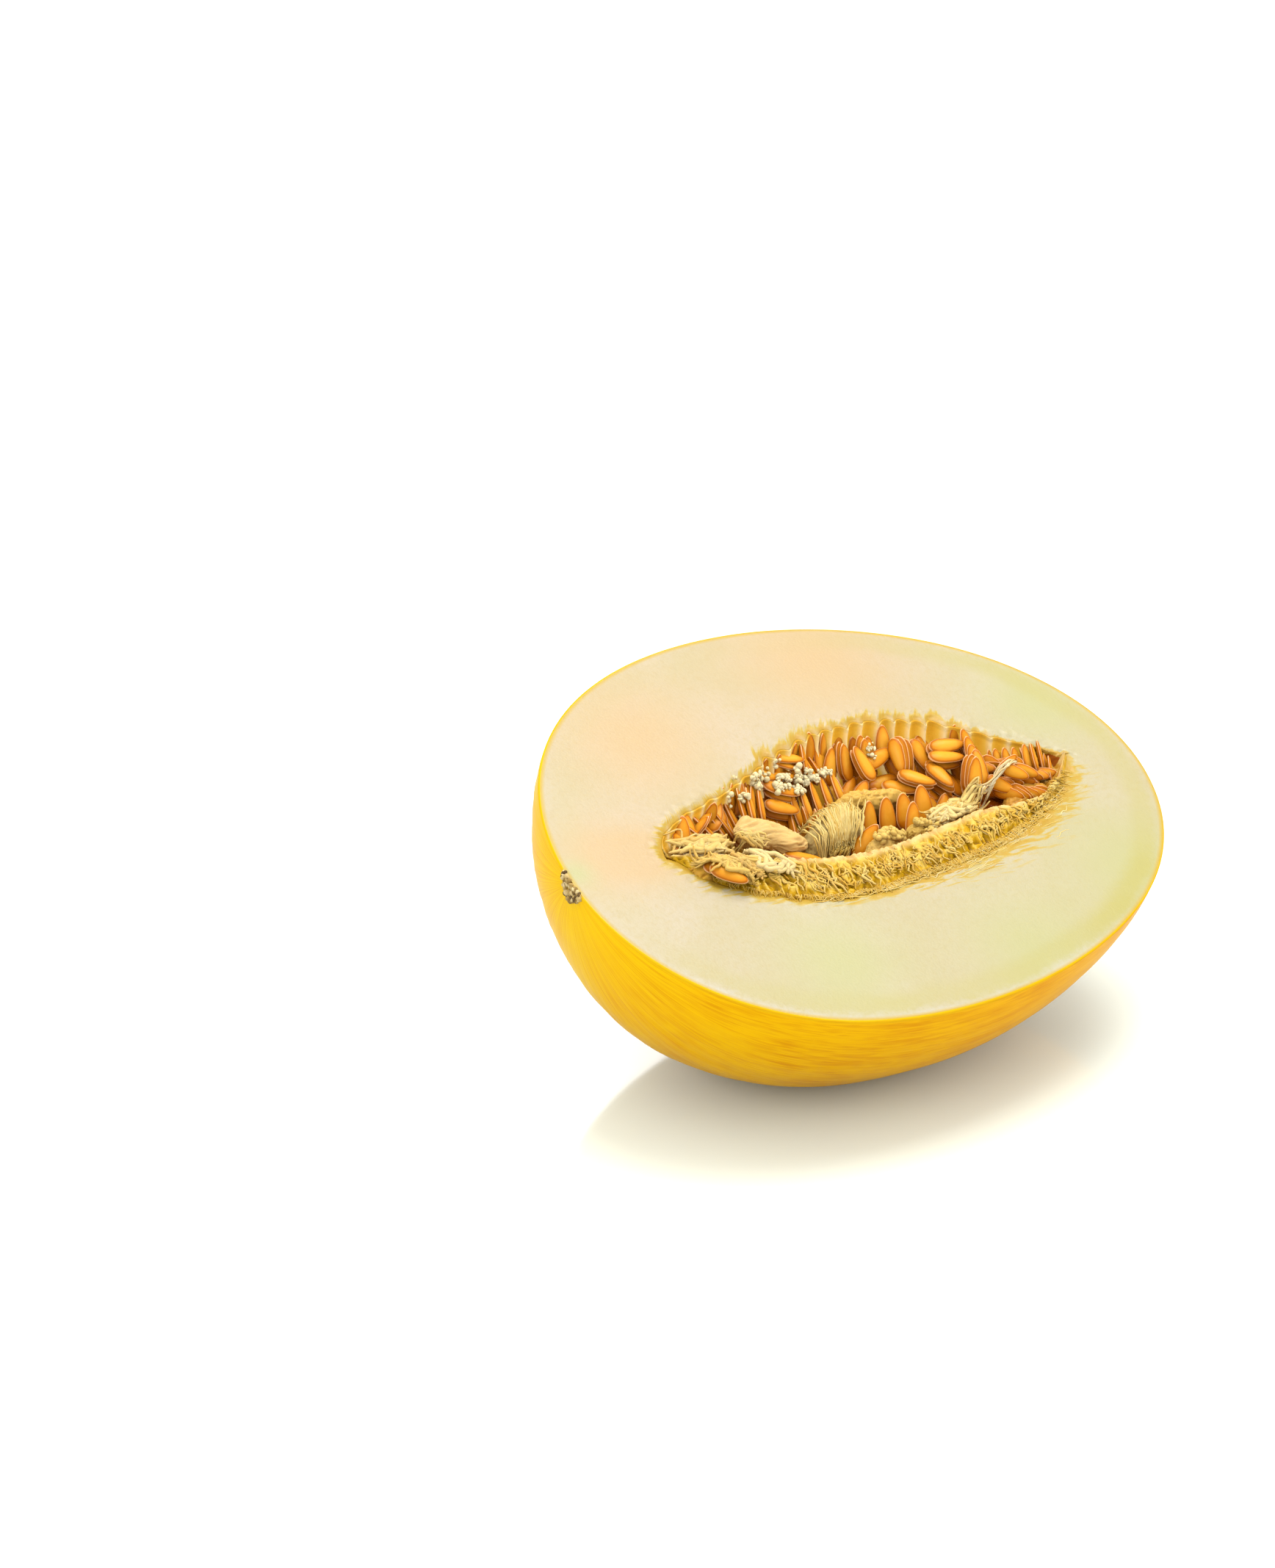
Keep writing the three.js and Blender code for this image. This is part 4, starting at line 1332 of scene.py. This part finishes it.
def draped(count, start, end, scatter, wiggle, thick, lift, seed, crossing=1.0, fan=0.0):
    """Paths from near start to near end that wiggle sideways and lie on the contents.

    start and end are places x, y in mm, scatter spreads both, wiggle is how far a path strays
    from straight, thick is the range of radii, and lift is how high the middle arches. crossing
    scales the scatter at the end, and fan carries each path's own shift over to its end.
    """
    luck = np.random.default_rng(seed)
    t = np.linspace(0, 1, STRING_POINTS)[None, :, None]
    begin = np.array(start) + luck.normal(0, 1, (count, 1, 2)) * scatter
    finish = np.array(end) + luck.normal(0, 1, (count, 1, 2)) * scatter * crossing
    finish = finish + (begin - start) * fan
    line = begin + (finish - begin) * t
    walk = stretched(t[..., 0] * 6 + 0 * line[..., 0], np.arange(count)[:, None] * 7.3, seed)
    stray = np.stack([noise(walk, 1, seed + 1), noise(walk, 1, seed + 2)], -1) - 0.5
    line = line + stray * 2 * wiggle
    below = on_top(line[..., 0], line[..., 1])
    for _ in range(3):
        below = np.maximum(below, 0.5 * (np.roll(below, 1, 1) + np.roll(below, -1, 1)))
    radius = luck.uniform(*thick, (count, 1)) * (0.35 + 0.65 * np.sin(np.pi * t[..., 0]) ** 0.5)
    arch = lift * np.sin(np.pi * t[..., 0]) * luck.uniform(0.3, 1, (count, 1))
    return np.concatenate([line, (below + 0.6 * radius + arch)[..., None]], -1), radius


print("points along a string:", STRING_POINTS)

# %% [markdown]
# Thick strings lie in bundles where the pulp tore, and a hundred and twenty fine ones dress the
# fibrous mound. Each strand has one relief for its whole length, because the colour follows the
# relief, and so golden strands lie between pale ones.

# %% Bundles of strings
STRING_SETS = [
    # tone, peach, then count, start, end, scatter, wiggle, thick, lift, seed, crossing and fan
    (0.75, 0.1, 16, (22, -5.5), (43, -1), (1.8, 1.5), 2.0, (0.4, 0.7), 1.0, 61),
    (0.8, 0.0, 14, (20, -8), (34, -6.5), (1.5, 1.2), 3.2, (0.4, 0.8), 1.2, 65),
    (0.95, 0.2, 7, (42, -1.5), (56, 3.5), (0.8, 0.7), 1.2, (0.2, 0.38), 1.2, 69),
    (0.7, 0.15, 12, (-61, 4), (-46, 2), (1.5, 2.4), 2.4, (0.7, 1.3), 0.3, 73),
    (0.8, 0.1, 12, (-60, 5), (-48, 1), (1.5, 2.4), 2.4, (0.25, 0.45), 1.0, 85),
    (0.6, 0.1, 16, (-60, -4), (-53, -12), (2.2, 1.4), 1.8, (0.35, 0.7), 0.5, 87),
    (0.6, 0.2, 14, (-51, -6), (-46, -14), (2.2, 1.0), 1.5, (0.4, 0.8), 0.8, 75),
    (0.8, 0.2, 5, (-45, -6), (-36, -16), (1.2, 1.0), 3.5, (0.6, 1.0), 0.8, 79),
    (0.6, 0.1, 10, (-50, -10), (-38, -12), (1.5, 1.5), 2.0, (0.4, 0.9), 0.8, 77),
    (0.76, 0.0, 120, (-9, -6), (-4, 7.5), (2.8, 1.0), 0.5, (0.14, 0.34), 0.1, 81, 0.35, 1.9),
    (0.6, 0.1, 16, (-59, -8), (-49, -15), (1.8, 1.8), 2.2, (0.4, 0.8), 0.5, 93),
    (0.7, 0.1, 12, (-41, 4), (-34, 0), (1.0, 1.6), 1.0, (0.3, 0.6), 0.3, 89),
]


def by_number(count, strides, seed):
    """A repeatable random number from 0 to 1 for each strand or grain."""
    return hashed(np.arange(count)[:, None] * strides, seed)[:, None, None]


def strung(name, rings, ends, tone, peach):
    """Strands as one piece; each has one relief, so that golden ones lie between pale ones."""
    relief = 0.3 + 0.7 * by_number(len(rings), [3, 1, 5], 19)
    return shells(name, settled(rings), settled(ends), relief=relief, tone=tone, peach=peach)


counts = [row[2] for row in STRING_SETS]
tone, peach = (np.repeat([row[i] for row in STRING_SETS], counts)[:, None, None] for i in (0, 1))
bundles = zip(*(tubes(*draped(*spec)) for _, _, *spec in STRING_SETS))
strings = strung("pulp_strings", *map(np.concatenate, bundles), tone, peach)

# %% [markdown]
# Three kinds of strands are thinner still: threads that run down the lip, wisps that the knife
# dragged over the flesh, and fuzz at the lip's foot. They follow the outline of the hollow and
# not the height map, and each kind has its own formula for the path.

# %% Threads, wisps and fuzz
def lip_threads(count):
    """Wriggling threads that run down over the lip, from its crest to the edge of the flesh.

    Each keeps its place along the hollow, and noise moves it a little in all three directions.
    """
    luck = np.random.default_rng(95)
    share = (luck.uniform(-46, 66, (count, 1)) - HOLLOW_MIDDLE) / HOLLOW_LENGTH
    t = np.linspace(0, 1, 22)[None]
    first, last = luck.uniform(0.14, 0.5, (count, 1)), luck.uniform(0.55, 1, (count, 1))
    down = first + (last - first) * t
    crest = lip_crest(share)
    across = crest + 0.03 - (crest + 1.0) * down
    x, y, _ = hollow(share + 0 * t, across)
    z = pulp_top(share + 0 * t, across)[0]
    walk = stretched(5 * t + 0 * x, np.arange(count)[:, None] * 5.1, 3)
    x = x + 3.4 * (noise(walk, 1, 96) - 0.5)
    y = y + 1.6 * (noise(walk, 1, 97) - 0.5)
    z = z + 0.5 + 1.4 * (noise(walk, 1, 98) - 0.5)
    radius = luck.uniform(0.2, 0.42, (count, 1)) * (0.4 + 0.6 * np.sin(np.pi * t) ** 0.6)
    return stretched(x, y, z), radius


def flesh_wisps(count):
    """Fine golden fibres that the knife dragged over the flesh, next to the lip.

    Each is a short line at a slight slope, set back from the hollow's edge by chance and bent by
    noise.
    """
    luck = np.random.default_rng(99)
    x0 = luck.uniform(-35, 60, (count, 1))
    length = luck.uniform(4, 13, (count, 1))
    t = np.linspace(0, 1, 16)[None]
    share = np.clip((x0 + 0.5 * length - HOLLOW_MIDDLE - NEAR_SLIP) / HOLLOW_LENGTH, -0.95, 0.95)
    _, edge_y, _ = hollow(share, -np.ones_like(share))
    out = luck.exponential(1.6, (count, 1)) * (0.4 + 0.9 * smooth_step(x0, -20, 25)) - 0.5
    slope = 0.12 + 0.004 * x0 + luck.normal(0, 0.08, (count, 1))
    walk = stretched(4 * t + 0 * x0, np.arange(count)[:, None] * 4.7, 5)
    x = x0 + length * t
    y = edge_y - out + slope * length * (t - 0.5) + 1.2 * (noise(walk, 1, 100) - 0.5)
    radius = luck.uniform(0.1, 0.2, (count, 1)) * np.sin(np.pi * (0.05 + 0.9 * t)) ** 0.5
    return stretched(x, y, -0.05 + 0 * x), radius


def edge_fuzz(count):
    """Short golden hairs that reach from the lip's foot out onto the flesh.

    Their headings fan out along the hollow. A parabola bends each one sideways and lifts its
    middle.
    """
    luck = np.random.default_rng(111)
    share = luck.uniform(-0.93, 0.9, (count, 1))
    x, y, _ = hollow(share, -np.ones_like(share))
    t = np.linspace(0, 1, 9)[None]
    heading = np.radians(-72 + 55 * share + luck.normal(0, 26, (count, 1)))
    length = luck.uniform(1.5, 5.0, (count, 1)) * (0.6 + 0.6 * smooth_step(share, -0.4, 0.3))
    bend = luck.normal(0, 1.0, (count, 1)) * t * (1 - t)
    out = length * t - 1.0
    x = x + out * np.cos(heading) - bend * np.sin(heading)
    y = y + out * np.sin(heading) + bend * np.cos(heading)
    z = 0.1 - 0.25 * t + 0.4 * t * (1 - t)
    radius = luck.uniform(0.1, 0.2, (count, 1)) * (1 - 0.7 * t)
    return stretched(x, y, z), radius


fine_strands = [
    strung(name, *tubes(*paths, around=6),
           level + 0.25 * (by_number(len(paths[0]), [1, 7, 3], 9) - 0.5), np.zeros((1, 1, 1)))
    for name, paths, level in (
        ("lip_threads", lip_threads(200), 0.62),
        ("flesh_wisps", flesh_wisps(170), 0.72),
        ("edge_fuzz", edge_fuzz(520), 0.55),
    )
]
print("strands:", sum(counts) + 200 + 170 + 520)

# %% [markdown]
# Curds are heaps of tiny egg-shaped grains, of about a hundred triangles each. One rough ball would
# be simpler, but a curd is knobbly like popcorn. A grain takes its place from the height map, so
# it sits on the seeds and not inside them. Grains of the same make, dry and brown, are the cork
# of the stem scar.

# %% Curds and cork grains
CORK_GRAINS, CORK_GRIT_MM, SCAR_HALF_MM = 130, 0.5, 4.6


def grains(centres, sizes, seed):
    """Knobbly grains on given centres: balls with uneven radii, scaled and turned by chance."""
    luck, count = np.random.default_rng(seed), len(centres)
    size = luck.uniform(*sizes, (count, 1, 1, 1)) * luck.uniform(0.6, 1.5, (count, 1, 1, 3))
    turned = seed_turn(luck.uniform(0, 360, count), luck.normal(0, 18, count), np.zeros(count))
    down = np.linspace(0.35, np.pi - 0.35, 6)[:, None]
    turn = -np.linspace(0, 2 * np.pi, 9, endpoint=False)[None]
    level = np.sin(down)
    egg = stretched(level * np.cos(turn), level * np.sin(turn), np.cos(down) + 0 * turn)
    apart = np.arange(count)[:, None, None, None] * 3.1
    bumpy = egg * (0.85 + 0.4 * noise(egg + apart, 0.8, seed)[..., None])
    ends = np.array([[0, 0, 1.0], [0, 0, -1.0]])[None] * size[:, 0] * 0.95
    body = (bumpy * size) @ turned[:, None]
    return body + centres[:, None, None], ends @ turned + centres[:, None]


def curd(heaps, middle, spread, sizes, pile, each, width, seed):
    """Heaps of grains scattered round a place x, y, which lie on whatever is there."""
    luck = np.random.default_rng(seed)
    places = np.repeat(luck.normal(0, 1, (heaps, 2)) * spread + middle, each, axis=0)
    places = places + luck.normal(0, width, places.shape)
    heights = on_top(places[:, 0], places[:, 1]) + luck.uniform(0, pile, len(places))
    return grains(np.concatenate([places, heights[:, None]], -1), sizes, seed + 50)


def scar_crumbs(count):
    """Grains of cork on the skin round the stem scar, closer together next to the cut."""
    luck = np.random.default_rng(121)
    side, down = luck.uniform(-4.4, 4.4, count), -luck.uniform(0, 1, count) ** 1.5 * 5.0
    down = down * np.sqrt(1 - (side / SCAR_HALF_MM) ** 2)
    side, down = side / RADIUS, down / RADIUS
    ball = stretched(-np.sqrt(1 - side**2 - down**2), side, down - 0.3 / RADIUS)
    return grains(skin(ball, luck.uniform(-0.6, 0.0, count)), (0.35, 0.8), 122)


CURDS = [
    # tone, then heaps, middle, spread, sizes, pile, each, width and seed
    (0.92, 22, (-6, 21.5), (6, 1.8), (0.4, 0.8), 0.8, 7, 0.55, 101),
    (0.9, 9, (-22, 21), (4.5, 1.3), (0.4, 0.8), 0.7, 6, 0.55, 102),
    (0.9, 4, (-34, 18), (2.5, 1.3), (0.35, 0.7), 0.7, 6, 0.5, 103),
    (0.66, 14, (3, -9), (3.0, 1.0), (0.5, 1.0), 1.6, 7, 0.7, 104),
    (0.66, 7, (17, -7.6), (1.4, 1.2), (0.5, 0.9), 1.2, 7, 0.7, 105),
    (0.92, 3, (19, 26), (1.6, 1.0), (0.3, 0.6), 0.6, 7, 0.7, 106),
]
piles = [curd(*spec) for _, *spec in CURDS]
tone = np.repeat([row[0] for row in CURDS], [len(pile[0]) for pile in piles])[:, None, None]
grain_rings, grain_ends = map(np.concatenate, zip(*piles))
curds = shells(
    "pulp_crumbs", settled(grain_rings), settled(grain_ends),
    relief=np.full((1, 1, 1), 0.9), tone=tone, peach=np.zeros((1, 1, 1)),
)
grain_rings, grain_ends = scar_crumbs(CORK_GRAINS)
cork_grains = shells(
    "scar_crumbs", settled(grain_rings), settled(grain_ends),
    tone=by_number(CORK_GRAINS, [1, 5, 2], 23),
)

# %% [markdown]
# ### Cork
#
# Where the stalk broke off, the fruit healed with cork: dead, dry cells full of air. They don't
# shine at all, and run from dark brown in the cracks to pale tan on the crumbs.

# %% Cork material
cork_material, tree, shader = new_material("Cork of the stem scar, dry", RIND_LIGHT)
tone_here = add(tree, "Attribute", out="Fac", attribute_name="tone")
cork_tones = add(tree, "ValToRGB", {0: tone_here}, stops=[
    (0.0, "#54380c"), (0.25, "#94722e"), (0.6, "#c4a25c"), (1.0, "#e4cc94"),
])
here = add(tree, "TexCoord", out="Object")
grit = add(tree, "TexNoise", {"Vector": here, "Scale": per_mm(CORK_GRIT_MM), "Detail": 3.0})
bump = add(tree, "Bump", {"Height": grit, "Strength": 0.6, "Distance": 0.2 * MM}, out="Normal")
set_shader(tree, shader, Base_Color=cork_tones, Roughness=0.9, IOR=1.5, Normal=bump)
dress(cork_grains, cork_material, "rind_and_flesh")
print("grains of cork:", CORK_GRAINS, "grit, mm:", CORK_GRIT_MM)

# %% [markdown]
# ### Scraps
#
# Thin scraps hold less juice than the bed, so they are paler: straw, cream or nearly white. One
# material covers them, and the painted tone says how far each has dried.

# %% Scrap material
scraps, tree, shader = new_material("Torn pulp scraps, juicy", HOLLOW_LIGHT)
SCRAP_SPECK_MM = 1.3
marks = {
    name: add(tree, "Attribute", out="Fac", attribute_name=name)
    for name in ("relief", "tone", "peach")
}
here = add(tree, "TexCoord", out="Object")
specks = add(tree, "TexNoise", {"Vector": here, "Scale": per_mm(SCRAP_SPECK_MM), "Detail": 3.0})
high = add(tree, "ValToRGB", {0: marks["tone"]}, stops=[
    (0.2, "#e09a24"), (0.5, "#eab848"), (0.75, "#f4d27c"), (1.0, "#fff2ca"),
])
colour = add(tree, "ValToRGB", {0: marks["tone"]}, stops=[
    (0.2, "#a85c08"), (0.5, "#ca9022"), (0.75, "#d8a43c"), (1.0, "#ecc87a"),
])
# Low spots of the relief keep the darker colour: on the lumps that is partly painted shade in the
# valleys between ridges; on strands it is one random number for each.
height = add(tree, "Math", {0: specks, 1: 0.4, 2: marks["relief"]}, **TIMES_PLUS)
raised = add(tree, "MapRange", {"Value": height, "From Min": 0.4, "From Max": 0.85})
for share, tint in ((raised, high), (marks["peach"], "#f8d09a")):
    colour = add(tree, "Mix", {FACTOR: share, FIRST: colour, SECOND: tint}, **COLOURS)
bump = add(tree, "Bump", {"Height": specks, "Strength": 0.3, "Distance": 0.3 * MM}, out="Normal")
set_shader(
    tree, shader, Base_Color=colour, Roughness=0.25, IOR=1.37, Normal=bump,
    Specular_IOR_Level=0.12, Subsurface_Weight=0.25, Subsurface_Radius=(1.0, 0.8, 0.4),
    Subsurface_Scale=0.0015,
)
for scrap in (lumps, strings, curds, *fine_strands):
    dress(scrap, scraps, "wet_pulp")
print("scraps:", [scrap.name for scrap in (lumps, strings, curds, *fine_strands)])
